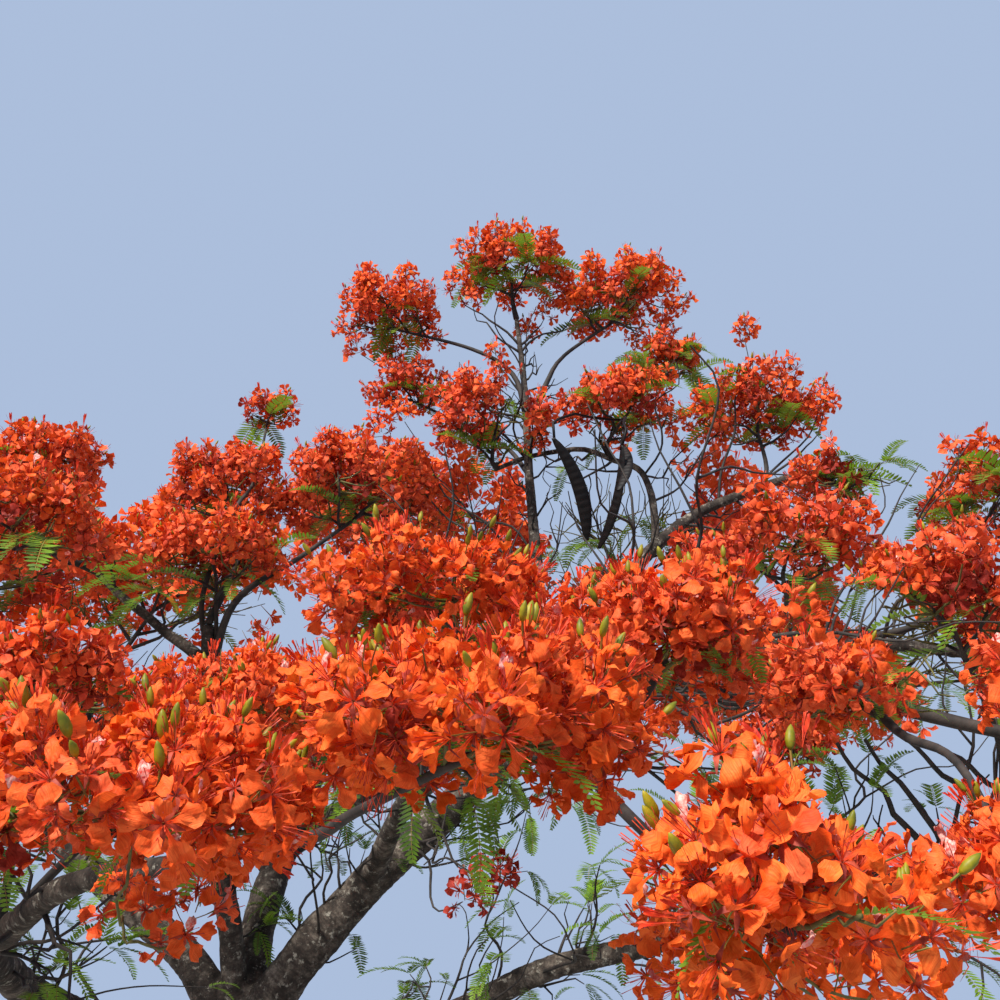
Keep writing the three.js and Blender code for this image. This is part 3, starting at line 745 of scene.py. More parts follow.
def head_twigs(mass):
    """The twigs from a mass's stem to its heads of blossom, as the source's rule grows them."""
    roll = dice(mass["seed"] + CROWN_SEED)
    count, stem = mass["heads"], mass["stem"]
    lowest = math.cos(math.radians(LOWEST_HEAD))
    phase = 360 * roll()
    ahead = mass["hub"] - point_along(stem, 0.5)
    ways = [
        direction(phase + k * GOLDEN_ANGLE, math.degrees(math.asin(1 - (k + 0.5) / count * (1 - lowest))))
        for k in range(count)
    ]
    ways.sort(key=lambda way: -way.dot(ahead))
    stretch = min(TWIG_STRETCH * mass["size"] / (mass["hub"] - mass["start"]).length, TWIG_STRETCH)
    while stretch > SHORTEST_STRETCH and not keeps_to_space(mass, point_along(stem, 1 - stretch)):
        stretch *= STRETCH_STEP
    twigs = []
    for k, way in enumerate(ways):
        root = point_along(stem, 1 - stretch * (k + TWIG_OFFSET) / count)
        for share in TRIES:
            radius = mass["head_radius"] * max(share, SMALLEST_HEAD)
            flat = Vector((way.x, way.y, way.z * SQUASH))
            place = mass["middle"] + flat * ((mass["size"] - radius * HEAD_INSET) * share)
            up = upright(way, place, root)
            neck = place - up * (NECK_DROP * radius)
            if keeps_to_space(mass, place) and keeps_to_space(mass, neck):
                twigs.append((root, neck))
                break
    return twigs or [(point_along(stem, LONE_TWIG_ROOT), mass["hub"])]


def shoots_of(mass, twigs):
    """Flowering shoots, spread over a mass's dome at arm's length and more thinly inside it."""
    roll = dice(mass["seed"] + SHOOT_SEED)
    lowest = math.cos(math.radians(LOWEST_HEAD))
    size = mass["size"]
    narrow = mass.get("narrow", 1)
    arm = max(size - SHOOT_INSET, LEAST_DOME)
    dome = 2 * math.pi * (1 - lowest) * arm ** 2 * DOME_SHARE * narrow
    outer = max(FEWEST_SHOOTS, round(dome * mass.get("dense", 1) / (SHOOT_AREA * mass["bloom"] ** 2)))
    inner = round(outer * INNER_SHOOTS[mass["detail"]])
    phase = 360 * roll()
    found = []
    for k in range(outer + inner):
        share = k / outer if k < outer else (k - outer + 0.5) / inner
        height = 1 - min(share + 0.5 / outer, LAST_SHARE) * (1 - lowest)
        heading = phase + k * GOLDEN_ANGLE + SHOOT_SCATTER * (roll() - 0.5)
        climb = math.degrees(math.asin(height)) + CLIMB_SCATTER * (roll() - 0.5)
        way = direction(heading, min(climb, STEEPEST))
        rim, deepest = OUTER_DEPTHS
        depth = rim + (deepest - rim) * roll() ** DEPTH_POWER if k < outer else within(INNER_DEPTHS, roll)
        layer = mass.get("layer", LAYER_HEIGHT[mass["detail"]])
        flat = Vector((way.x * narrow, way.y * narrow, way.z * SQUASH * layer))
        for attempt in TRIES:
            place = mass["middle"] + mass["sunk"] + flat * ((size - SHOOT_INSET) * depth * attempt)
            if keeps_to_space(mass, place, SHOOT_INSET * 0.5):
                break
        else:
            continue
        if mass["detail"] == "front" and noise.noise(place / GAP_SIZE) < GAP_LEVEL:
            continue
        near = min(twigs, key=lambda twig: (twig[1] - place).length)
        root = near[0].lerp(near[1], within(ALONG_TWIG, roll))
        up = upright(way, place, root)
        base = place - up * (SHOOT_AXIS * mass["bloom"] * SHOOT_BASE)
        dealt = dice(mass["seed"] * SEEDS_PER_MASS + k)
        found.append(dict(mass=mass, root=root, base=base, place=place, up=up, outer=k < outer, roll=dealt))
    return found


# Single shoots that stand apart from the masses, each on a twig of its own from a bough, from
# the stem of the mass it is like or, where it joins on, from the shoot before it
STRAYS = [
    dict(on="leader", at=0.9, place=(0.84, 0.50, 4.47), like="top"),
    dict(on="leader", at=0.92, place=(0.76, 0.48, 4.56), like="top"),
    dict(on="leader", at=0.92, place=(1.25, 0.57, 4.44), like="top"),
    dict(on="leader", at=0.9, place=(1.44, 0.59, 4.52), like="top_right"),
    dict(on="leader", at=0.88, place=(1.15, 0.65, 4.36), like="top"),
    dict(on="leader", at=0.78, place=(0.98, 0.43, 4.10), like="top"),
    dict(on="leader", at=0.72, place=(0.24, 0.60, 4.24), like="top_left"),
    dict(on="leader", at=0.35, place=(0.54, 0.11, 3.64), like="left_inner"),
    dict(on="leader", at=0.3, place=(0.45, 0.09, 3.55), like="left_inner"),
    dict(on="right_mid", at=0.8, place=(2.17, 0.12, 4.07), like="right_high"),
    dict(on="right_mid", at=0.9, place=(2.52, 0.18, 3.78), like="right_high"),
    dict(on="right_mid", at=0.9, place=(2.50, 0.08, 3.66), like="right_high"),
    dict(on="right_far", at=0.55, place=(2.72, -0.34, 3.24), like="right_crest"),
    dict(place=(0.48, -2.75, 1.58), like="near_left", few=5),
    dict(place=(0.55, -2.79, 1.56), like="near_left", few=4, joins=True),
    dict(place=(0.60, -2.80, 1.57), like="near_left", few=5, joins=True),
    dict(place=(1.24, -2.93, 1.50), like="near_right"),
    dict(place=(1.31, -2.96, 1.48), like="near_right", joins=True),
    dict(place=(1.41, -2.93, 1.49), like="near_right"),
    dict(place=(1.49, -2.88, 1.51), like="near_right"),
    dict(place=(1.21, -2.83, 1.51), like="near_right", few=5),
    dict(on="front", at=0.2, place=(0.91, -0.88, 1.56), like="right_inner"),
    dict(on="front", at=0.3, place=(0.98, -0.80, 1.62), like="right_inner"),
]
STRAY_ROOT = 0.9
STRAY_UPTURN = 0.8
STRAY_SEED = 8000


def stray_shoots():
    base = None
    for k, stray in enumerate(STRAYS):
        host = LIMBS[stray["on"]]["path"] if "on" in stray else MASSES[stray["like"]]["stem"]
        root = base if stray.get("joins") else point_along(host, stray.get("at", STRAY_ROOT))
        place = Vector(stray["place"])
        up = ((place - root).normalized() + UP * STRAY_UPTURN).normalized()
        base = place - up * (SHOOT_AXIS * SHOOT_BASE)
        yield dict(mass=MASSES[stray["like"]], root=root, base=base, place=place, up=up,
                   outer=True, roll=dice(STRAY_SEED + k), few=stray.get("few"))


# Openings that the photograph shows through the crown, as cones from where it was taken: which
# way each one looks, half its width in degrees and how far off it begins. No flower fills them.
VIEWPOINT = Vector((1.0, -4.3, 1.6))
PETAL_REACH = 0.03
OPENINGS = {
    "behind the pods": dict(beyond=4.0, cones=[
        (86.5, 20, 1.9), (84, 21, 1.7), (84, 18.5, 2.0), (82, 17.5, 1.3), (80.5, 20, 1.5),
        (81, 22, 1.1), (86, 17, 1.2),
    ]),
    "high on the right": dict(beyond=3.7, cones=[
        (69, 22, 1.5), (67.5, 21, 1.6), (68, 19.5, 1.3), (68.5, 18, 0.8),
    ]),
    "right of the middle": dict(beyond=1.7, cones=[
        (70.5, 13.5, 1.1), (69, 13, 1.1), (68, 11.5, 1.1), (67, 10.5, 1.1), (67, 9, 1.1),
    ]),
    "under the right": dict(beyond=1.2, cones=[(66.5, 7, 1.0), (65.5, 6, 0.8)]),
    "before the leader": dict(beyond=3.5, cones=[
        (89, 26.5, 0.4), (89, 25.5, 0.4), (89, 24.5, 0.4), (89, 23.5, 0.4),
    ]),
    "far left": dict(beyond=2.5, cones=[(111.5, 18.5, 0.6), (110.5, 19.5, 0.7), (109.5, 20.5, 0.7)]),
    "under the left": dict(beyond=2.5, cones=[
        (107, 13, 0.5), (104.5, 13, 0.7), (103.5, 14, 0.7), (102, 14.5, 0.6), (100, 16.5, 0.5),
    ]),
    "over the near dome": dict(beyond=0.8, cones=[(72, 5, 1.2), (70.5, 4.5, 1.4), (69.5, 3.5, 1.1)]),
}


def is_in_opening(point):
    way = point - VIEWPOINT
    distance = way.length
    way.normalize()
    petal = math.degrees(PETAL_REACH / distance)
    return any(
        distance > opening["beyond"]
        and math.degrees(way.angle(direction(heading, climb))) < half_width + petal
        for opening in OPENINGS.values()
        for heading, climb, half_width in opening["cones"]
    )


CURVE_HANDLE = 0.35


def curve_between(start, leave, end, arrive, count, roll, crook):
    """A crooked curve that leaves its start one way and arrives at its end another way."""
    length = (end - start).length
    first = start + leave * (length * CURVE_HANDLE)
    second = end - arrive * (length * CURVE_HANDLE)
    points = []
    for i in range(count + 1):
        t = i / count
        point = (start * (1 - t) ** 3 + first * (3 * t * (1 - t) ** 2)
                 + second * (3 * t * t * (1 - t)) + end * t ** 3)
        if 0 < i < count:
            point = point + jitter(roll) * (crook * length)
        points.append(point)
    return points


HEAD_TWIG_RADII = [0.46, 0.37, 0.28, 0.19, 0.10]
HEAD_TWIG_CROOK = 0.12
HEAD_TWIG_SEED = 5000
FINE_TWIG_STEPS = 3
FINE_TWIG_CROOK = 0.14
STRAY_STEPS = 5
STRAY_CROOK = 0.1
BARE_TWIG = (0.0075, 0.0022)
BARE_STEP = 0.045
OLD, YOUNG = range(2)


def add_smooth_tube(path, spacing, ends, sides, part=OLD, open_end=False):
    """Adds an evenly tapering twig along a smooth curve through a path, and returns the curve."""
    curve, shares = eased(path, spacing)
    radii = [ends[0] + (ends[1] - ends[0]) * share for share in shares]
    add_tube(woody, curve, radii, sides, part, open_end)
    return curve


def twig_to(shoot, steps, crook):
    out = (shoot["base"] - shoot["root"]).normalized()
    return curve_between(shoot["root"], out, shoot["base"], shoot["up"], steps, shoot["roll"], crook)


woody = Pile()
shoots = []
for mass in MASSES.values():
    base = mass["stem_radius"]
    thin = NEAR_TWIG if mass["detail"] == "near" else 1
    add_smooth_tube(mass["stem"], STEM_SPACING, (base, base * STEM_TIP), STEM_SIDES)
    mass["twigs"] = head_twigs(mass)
    roll = dice(mass["seed"] + HEAD_TWIG_SEED)
    for root, neck in mass["twigs"]:
        out = (neck - root).normalized()
        path = curve_between(root, out, neck, out, len(HEAD_TWIG_RADII) - 1, roll, HEAD_TWIG_CROOK)
        radii = [base * share * thin for share in HEAD_TWIG_RADII]
        add_tube(woody, path, radii, TWIG_SIDES, YOUNG if mass["detail"] == "near" else OLD)
    grown = shoots_of(mass, mass["twigs"])
    for shoot in grown:
        path = twig_to(shoot, FINE_TWIG_STEPS, FINE_TWIG_CROOK)
        ends = [thin * radius for radius in FINE_TWIG]
        radii = [ends[0] + (ends[1] - ends[0]) * i / FINE_TWIG_STEPS for i in range(len(path))]
        add_tube(woody, path, radii, FINE_TWIG_SIDES, YOUNG, open_end=True)
    shoots += grown
for shoot in stray_shoots():
    path = twig_to(shoot, STRAY_STEPS, STRAY_CROOK)
    is_young = shoot["mass"]["detail"] == "near"
    ends = (FINE_TWIG[1] if is_young else BARE_TWIG[0], THINNEST)
    add_smooth_tube(path, BARE_STEP, ends, TWIG_SIDES, YOUNG if is_young else OLD)
    shoots.append(shoot)

# Long bare branches that cross the opening low on the right
LONG_TWIG_BOUGH = "low_right"
LONG_TWIGS = [
    (0.78, (2.06, -0.94, 2.01)),
    (0.8, (2.15, -0.94, 2.02)),
    (0.86, (2.18, -1.06, 2.05)),
    (0.9, (2.26, -1.14, 1.98)),
]
LONG_TWIG = (0.013, 0.006)
LONG_TWIG_UPTURN = 0.5
LONG_TWIG_STEPS = 5
LONG_TWIG_CROOK = 0.08
LONG_TWIG_SEED = 8500
for k, (share, tip) in enumerate(LONG_TWIGS):
    root, tip = point_along(LIMBS[LONG_TWIG_BOUGH]["path"], share), Vector(tip)
    out = (tip - root).normalized()
    leave = (out + UP * LONG_TWIG_UPTURN).normalized()
    path = curve_between(root, leave, tip, out, LONG_TWIG_STEPS, dice(LONG_TWIG_SEED + k), LONG_TWIG_CROOK)
    add_smooth_tube(path, BARE_STEP, LONG_TWIG, TWIG_SIDES)


BARE_SPACING = 0.09
BARE_FROM = 0.15
BARE_TO = 0.88
BARE_AHEAD = 0.02
BARE_LEAST = 0.2
BARE_MORE = 0.65
BARE_LEANS = (0.3, 0.8)
BARE_UPTURN = 0.3
BARE_RISE = 0.9
BARE_BEND = 0.4
BARE_STEPS = 5
BARE_CROOK = 0.16
BARE_SEED = 9000
FORKED_ONCE = 0.3
FORK_SPREAD = 1.8
FORK_REACHES = (0.35, 0.65)
FORK_STEPS = 3
FORK_CROOK = 0.2


def bare_twigs(limb):
    """Crooked twigs that stand off a bough on all sides, each with a fork or two."""
    roll = dice(limb["seed"] + BARE_SEED)
    length = limb["length"]
    spacing = BARE_SPACING / limb["twiggy"]
    for k in range(int(length * (1 - BARE_FROM) / spacing)):
        share = BARE_FROM + (k + roll()) * spacing / length
        if share > BARE_TO:
            break
        root = point_along(limb["path"], share)
        way = (point_along(limb["path"], min(share + BARE_AHEAD, 1)) - root).normalized()
        side = Quaternion(way, 2 * math.pi * roll()) @ way.orthogonal().normalized()
        out = (way * within(BARE_LEANS, roll) + side + UP * BARE_UPTURN).normalized()
        reach = (BARE_LEAST + BARE_MORE * roll() ** 2) * min(limb["twiggy"], 1)
        bend = (out + Vector((roll() - 0.5, roll() - 0.5, BARE_RISE * roll()))).normalized()
        tip = root + out.lerp(bend, BARE_BEND) * reach
        path = curve_between(root, out, tip, bend, BARE_STEPS, roll, BARE_CROOK)
        yield path, BARE_TWIG
        for fork in path[2:4 if roll() < 1 - FORKED_ONCE else 3]:
            away = (bend + jitter(roll) * FORK_SPREAD).normalized()
            end = fork + away * (reach * within(FORK_REACHES, roll))
            forked = curve_between(fork, away, end, away, FORK_STEPS, roll, FORK_CROOK)
            yield forked, (FINE_TWIG[0], THINNEST)


twig_tips = []
for name, limb in LIMBS.items():
    if name != "trunk":
        for path, ends in bare_twigs(limb):
            curve = add_smooth_tube(path, BARE_STEP, ends, FINE_TWIG_SIDES, open_end=True)
            twig_tips.append((curve[-1], (path[-1] - path[-2]).normalized()))

TWIG_DARK = colour("16110e")
TWIG_LIGHT = colour("3c332c")
YOUNG_DARK = colour("3c3a1c")
YOUNG_LIGHT = colour("7c7434")
TWIG_PATCH = 0.05
TWIG_SCALE = (60, 60, 160)


def twig_material(name, dark, light):
    made, start = new_material(name)
    mark = start.marks()
    base = mark.grain(TWIG_PATCH, 3).ramp((0.35, dark), (0.7, light))
    height = (mark * TWIG_SCALE).grain(1.0, 2)
    start.finish(base, (height, 0.5, 0.002), roughness=0.8, shine=0.5)
    return made


mass_nodes = [f"mass_{name}" for name in MASSES]
twigs_piece = new_piece("twigs", woody.mesh("twigs"), twig_material("twig", TWIG_DARK, TWIG_LIGHT))
twigs_piece.data.materials.append(twig_material("young_twig", YOUNG_DARK, YOUNG_LIGHT))
twigs_piece.data.polygons.foreach_set("material_index", np.array(woody.parts, np.int32))
hand_over(twigs_piece, mass_nodes)


# Flowers. Each has four spoon-shaped petals, a steeper standard, five narrow sepals and a brush
# of red stamens, on a green stalk. The petals are thin and crinkled and let light through, in
# five tints from bright orange to dark maroon; the deeper tints are partly painted shade, dealt to
# flowers inside and low in a mass. Seven to ten stand round each outer shoot.

PETAL_LENGTH = 0.058
PETAL_WIDTH = 0.0178
STANDARD_WIDTH = 0.64
STALK_LENGTH = 0.056
PETALS = 5
PETAL_SWAY = 14
PETAL_ROOT = 0.004
PETAL_SIZES = (0.9, 1.1)
UNEVEN = 40
CURL = 1.4
TWIST = 1.5
CUP = 0.75
CUP_LEVEL = 0.35
CUP_MIDDLE = 0.4
RAGGED = (0.88, 1.12)
CRINKLE = 1.1
CRINKLED_FROM = 0.5
FRILL = 0.12
FRILL_RISE = 0.5
FRILLED_FROM = 0.8
STANDARD_LIFT = 16
STANDARD_BEND = 0.75
PETAL, HEART, STALK, PALE, SEPAL, ROLLED = range(6)
ROLLED_STAMENS = 2
STAMEN_LEANS = (8, 34)
STAMEN_LENGTHS = (0.044, 0.066)
STAMEN_BOW = (1.3, 0.4)
STAMEN_KNEE = 0.55
STAMEN_ROOT = 0.002
STAMEN_SHAPE = (1, 0.8, 1.6)
SEPAL_LENGTH = 0.030
SEPAL_RISE = 0.003
SEPAL_DROPS = (0.002, 0.014)
SEPAL_WIDTHS = (0.0015, 0.0042, 0.0006)
STALK_SWAY = 0.012
STALK_RADII = (0.0013, 0.0024)
STALK_SIDES = 3
EDGES = (-1, 1)
MIDRIB = (-1, 0, 1)
BLADE = (-1, -0.52, 0, 0.52, 1)
# For each detail: the rows of a petal as share of its length, share of its width and the
# places across, then its stamens, whether it has sepals, and the steps of the stalk
DETAILS = {
    "near": dict(
        rows=[(0, 0.1, EDGES), (0.28, 0.14, EDGES), (0.44, 0.3, MIDRIB), (0.57, 0.75, BLADE),
              (0.72, 1.03, BLADE), (0.87, 0.96, BLADE), (0.96, 0.7, BLADE), (1, 0.4, MIDRIB)],
        stamens=9, stamen_width=0.0014, sepals=True, stalk_steps=3,
    ),
    "front": dict(
        rows=[(0, 0.12, EDGES), (0.4, 0.3, EDGES), (0.7, 1.04, MIDRIB), (0.97, 0.72, EDGES)],
        stamens=5, stamen_width=0.0020, sepals=True, stalk_steps=1,
    ),
    "far": dict(
        rows=[(0.1, 0.12, (0,)), (0.64, 1, EDGES), (1, 0.6, EDGES)],
        stamens=2, stamen_width=0.0034, sepals=False, stalk_steps=1,
    ),
}
# Each form: lift of the petals from level, how far they bend over, and how wide they spread
FORMS = {
    "open": (56, 84, 1.0),
    "flat": (34, 56, 1.08),
    "bent": (44, 138, 1.0),
    "funnel": (68, 50, 0.9),
    "loose": (48, 108, 1.15),
    "pale": (56, 84, 1.0),
    "rolled": (86, 2, 0.2),
}


def stitch(lower, upper):
    """Triangles between two rows of corners, given as lists of (place across, corner)."""
    faces, i, j = [], 0, 0
    while i < len(lower) - 1 or j < len(upper) - 1:
        take_lower = j == len(upper) - 1 or (
            i < len(lower) - 1 and lower[i + 1][0] + lower[i][0] <= upper[j + 1][0] + upper[j][0]
        )
        if take_lower:
            faces.append((lower[i][1], lower[i + 1][1], upper[j][1]))
            i += 1
        else:
            faces.append((lower[i][1], upper[j + 1][1], upper[j][1]))
            j += 1
    return faces


def add_petal(pile, rows, turn, lift, bend, length, width, roll, part):
    """One petal round the flower's axis +Z, from its claw to its crinkled rim."""
    out = Vector((math.cos(turn), math.sin(turn), 0))
    side = Vector((-math.sin(turn), math.cos(turn), 0))
    twist = TWIST * (roll() - 0.5)
    cup = CUP * (roll() - CUP_LEVEL)
    points, faces, marks, before = [], [], [], None
    place, along = out * PETAL_ROOT, 0
    for share, breadth, across in rows:
        tilt = math.radians(lift - bend * ((along + share) / 2) ** CURL)
        place = place + (out * math.cos(tilt) + UP * math.sin(tilt)) * ((share - along) * length)
        along = share
        tilt = math.radians(lift - bend * share ** CURL)
        normal = out * -math.sin(tilt) + UP * math.cos(tilt)
        slant = side * math.cos(twist * share) + normal * math.sin(twist * share)
        row = []
        for u in across:
            crinkle = (roll() - 0.5) * CRINKLE * breadth * width if share > CRINKLED_FROM else 0
            row.append((u, len(points)))
            rise = normal * (cup * breadth * width * (u * u - CUP_MIDDLE) + crinkle)
            frill = (roll() - 0.5) * FRILL * length if share > FRILLED_FROM else 0
            spread = slant * (u * breadth * width * within(RAGGED, roll))
            points.append(place + spread + rise + (out + UP * FRILL_RISE) * frill)
            marks.append((u * breadth, share, 0))
        if before:
            faces += stitch(before, row)
        before = row
    pile.add(points, faces, marks, part)


def add_strip(pile, path, widths, side, part):
    """A flat narrow strip along a path."""
    points, marks = [], []
    for i, place in enumerate(path):
        points += [place - side * widths[i], place + side * widths[i]]
        marks += [(-1, i / (len(path) - 1), 0), (1, i / (len(path) - 1), 0)]
    faces = [(2 * i, 2 * i + 1, 2 * i + 3, 2 * i + 2) for i in range(len(path) - 1)]
    pile.add(points, faces, marks, part)


def flower_mesh(name, form, detail, seed):
    pile, roll = Pile(), dice(seed)
    lift, bend, spread = FORMS[form]
    make = DETAILS[detail]
    for k in range(PETALS):
        standard = k == 0
        turn = math.radians(360 / PETALS * k + PETAL_SWAY * (roll() - 0.5))
        part = PALE if standard and form == "pale" else ROLLED if form == "rolled" else PETAL
        add_petal(
            pile, make["rows"], turn,
            lift + (STANDARD_LIFT if standard and form != "rolled" else 0) + UNEVEN * (roll() - 0.5),
            bend * (STANDARD_BEND if standard else 1) + UNEVEN * (roll() - 0.5),
            PETAL_LENGTH * within(PETAL_SIZES, roll),
            PETAL_WIDTH * spread * (STANDARD_WIDTH if standard else 1) * within(PETAL_SIZES, roll),
            roll, part,
        )
    for k in range(make["stamens"] if form != "rolled" else ROLLED_STAMENS):
        turn = 2 * math.pi * (k + 0.5 * roll()) / make["stamens"]
        lean = math.radians(within(STAMEN_LEANS, roll))
        out = Vector((math.cos(turn), math.sin(turn), 0))
        length = within(STAMEN_LENGTHS, roll)
        low, high = lean * STAMEN_BOW[0], lean * STAMEN_BOW[1]
        middle = (UP * math.cos(low) + out * math.sin(low)) * (length * STAMEN_KNEE)
        tip = middle + (UP * math.cos(high) + out * math.sin(high)) * (length * (1 - STAMEN_KNEE))
        width = make["stamen_width"]
        path, widths = [out * STAMEN_ROOT, tip], [width, width]
        if detail == "near":
            path, widths = [path[0], middle, tip], [width * share for share in STAMEN_SHAPE]
        add_strip(pile, path, [w / 2 for w in widths], out.cross(UP), HEART)
    for k in range(PETALS if make["sepals"] else 0):
        turn = math.radians(360 / PETALS * (k + 0.5))
        out = Vector((math.cos(turn), math.sin(turn), 0))
        middle = out * (SEPAL_LENGTH / 2) + UP * SEPAL_RISE
        tip = out * SEPAL_LENGTH - UP * within(SEPAL_DROPS, roll)
        add_strip(pile, [UP * -SEPAL_DROPS[0], middle, tip], SEPAL_WIDTHS, out.cross(UP), SEPAL)
    steps = make["stalk_steps"]
    sway = Vector((roll() - 0.5, roll() - 0.5, 0)) * STALK_SWAY
    shares = [i / steps for i in range(steps + 1)]
    stalk = [UP * (STALK_LENGTH * (s - 1)) + sway * (4 * s * (1 - s)) for s in shares]
    radii = [STALK_RADII[0]] * steps + [STALK_RADII[1]]
    add_tube(pile, stalk, radii, STALK_SIDES, STALK, open_end=True)
    return pile.mesh(name)


def shape_collection(name, meshes):
    """Shapes for scattering. They are picked by number, in the order of their names."""
    collection = bpy.data.collections.new(name)
    for index, mesh in enumerate(meshes):
        collection.objects.link(bpy.data.objects.new(f"{name}_{index:02d}", mesh))
    return collection


def scatter_tree(name, materials):
    """Stands shapes on points and deals a material to each of their parts. The points carry
    which shape, how it is turned and how large it is."""
    tree = bpy.data.node_groups.new(name, "GeometryNodeTree")
    wanted = {
        "Points": "NodeSocketGeometry", "Shapes": "NodeSocketCollection",
        "Least size": "NodeSocketFloat", "Most size": "NodeSocketFloat", "Seed": "NodeSocketInt",
        **{material: "NodeSocketMaterial" for material in materials},
    }
    for socket, kind in wanted.items():
        tree.interface.new_socket(socket, in_out="INPUT", socket_type=kind)
    tree.interface.new_socket("Grown", in_out="OUTPUT", socket_type="NodeSocketGeometry")
    start, source = Wire(tree), tree.nodes.new("NodeGroupInput")

    def given(name):
        return Wire(tree, source.outputs[name])

    def named(attribute, kind):
        settings = {"data_type": kind}
        return start.node("GeometryNodeInputNamedAttribute", settings, {"Name": attribute}, "Attribute")

    shapes = start.node("GeometryNodeCollectionInfo", {}, {
        "Collection": given("Shapes"), "Separate Children": True, "Reset Children": True,
    })
    size = start.node("FunctionNodeRandomValue", {"data_type": "FLOAT"}, {
        2: given("Least size"), 3: given("Most size"), "Seed": given("Seed"),
    }, 1)
    turn = start.node("FunctionNodeEulerToRotation", {}, {"Euler": named("turn", "FLOAT_VECTOR")})
    stand = start.node("GeometryNodeInstanceOnPoints", {}, {
        "Points": given("Points"), "Instance": shapes, "Pick Instance": True,
        "Instance Index": named("shape", "INT"), "Rotation": turn, "Scale": size * named("size", "FLOAT"),
    })
    grown = start.node("GeometryNodeRealizeInstances", {}, {"Geometry": stand})
    for part, material in enumerate(materials):
        settings = {"data_type": "INT", "operation": "EQUAL"}
        chosen = start.node("FunctionNodeCompare", settings, {2: named("part", "INT"), 3: part})
        grown = start.node("GeometryNodeSetMaterial", {}, {
            "Geometry": grown, "Selection": chosen, "Material": given(material),
        })
    start.node("NodeGroupOutput", {}, {"Grown": grown})
    return tree


def scatter(name, tree, stands, inputs):
    """A joined piece: for each stand, a place, a turn, a size and a shape's number."""
    points = bpy.data.meshes.new(name)
    points.from_pydata([stand[0] for stand in stands], [], [])
    kinds = (("turn", "FLOAT_VECTOR", "vector"), ("size", "FLOAT", "value"), ("shape", "INT", "value"))
    for column, (title, kind, field) in enumerate(kinds, 1):
        number = np.int32 if kind == "INT" else np.float32
        values = np.array([stand[column] for stand in stands], number)
        points.attributes.new(title, kind, "POINT").data.foreach_set(field, values.ravel())
    piece = new_piece(name, points)
    modifier = piece.modifiers.new("scatter", "NODES")
    modifier.node_group = tree
    for item in tree.interface.items_tree:
        if item.in_out == "INPUT" and item.name in inputs:
            modifier[item.identifier] = inputs[item.name]
    mesh = settled(piece)
    for attribute in [a.name for a in mesh.attributes if a.name in ("part", "turn", "size", "shape")]:
        mesh.attributes.remove(mesh.attributes[attribute])
    return piece


NEARLY_ALONG = 0.05


def turn_towards(way, above):
    """The turn that carries +Z to a way and +X as near as can be to another."""
    x = above - way * above.dot(way)
    x = way.orthogonal() if x.length < NEARLY_ALONG else x
    x.normalize()
    return Matrix((x, way.cross(x), way)).transposed().to_euler()


FIRST_FLOWER_SEED = 31
FLOWER_SEED_STEP = 7
FLOWER_SEED_JUMP = 1000
TINTS = ("orange", "flame", "scarlet", "crimson", "maroon")
FORM_DEAL = (
    ["open"] * 5 + ["flat"] * 3 + ["bent"] * 4 + ["funnel"] * 3 + ["loose"] * 4 + ["pale"] * 2 + ["rolled"]
)
flower_forms = [(form, seed) for form in FORMS for seed in range(2 if form in ("open", "loose") else 1)]
flower_shapes = {
    detail: shape_collection(f"{detail}_flower", [
        flower_mesh(
            f"{detail}_{form}_{seed}", form, detail,
            FIRST_FLOWER_SEED + FLOWER_SEED_STEP * i + FLOWER_SEED_JUMP * seed,
        )
        for i, (form, seed) in enumerate(flower_forms)
    ])
    for detail in DETAILS
}

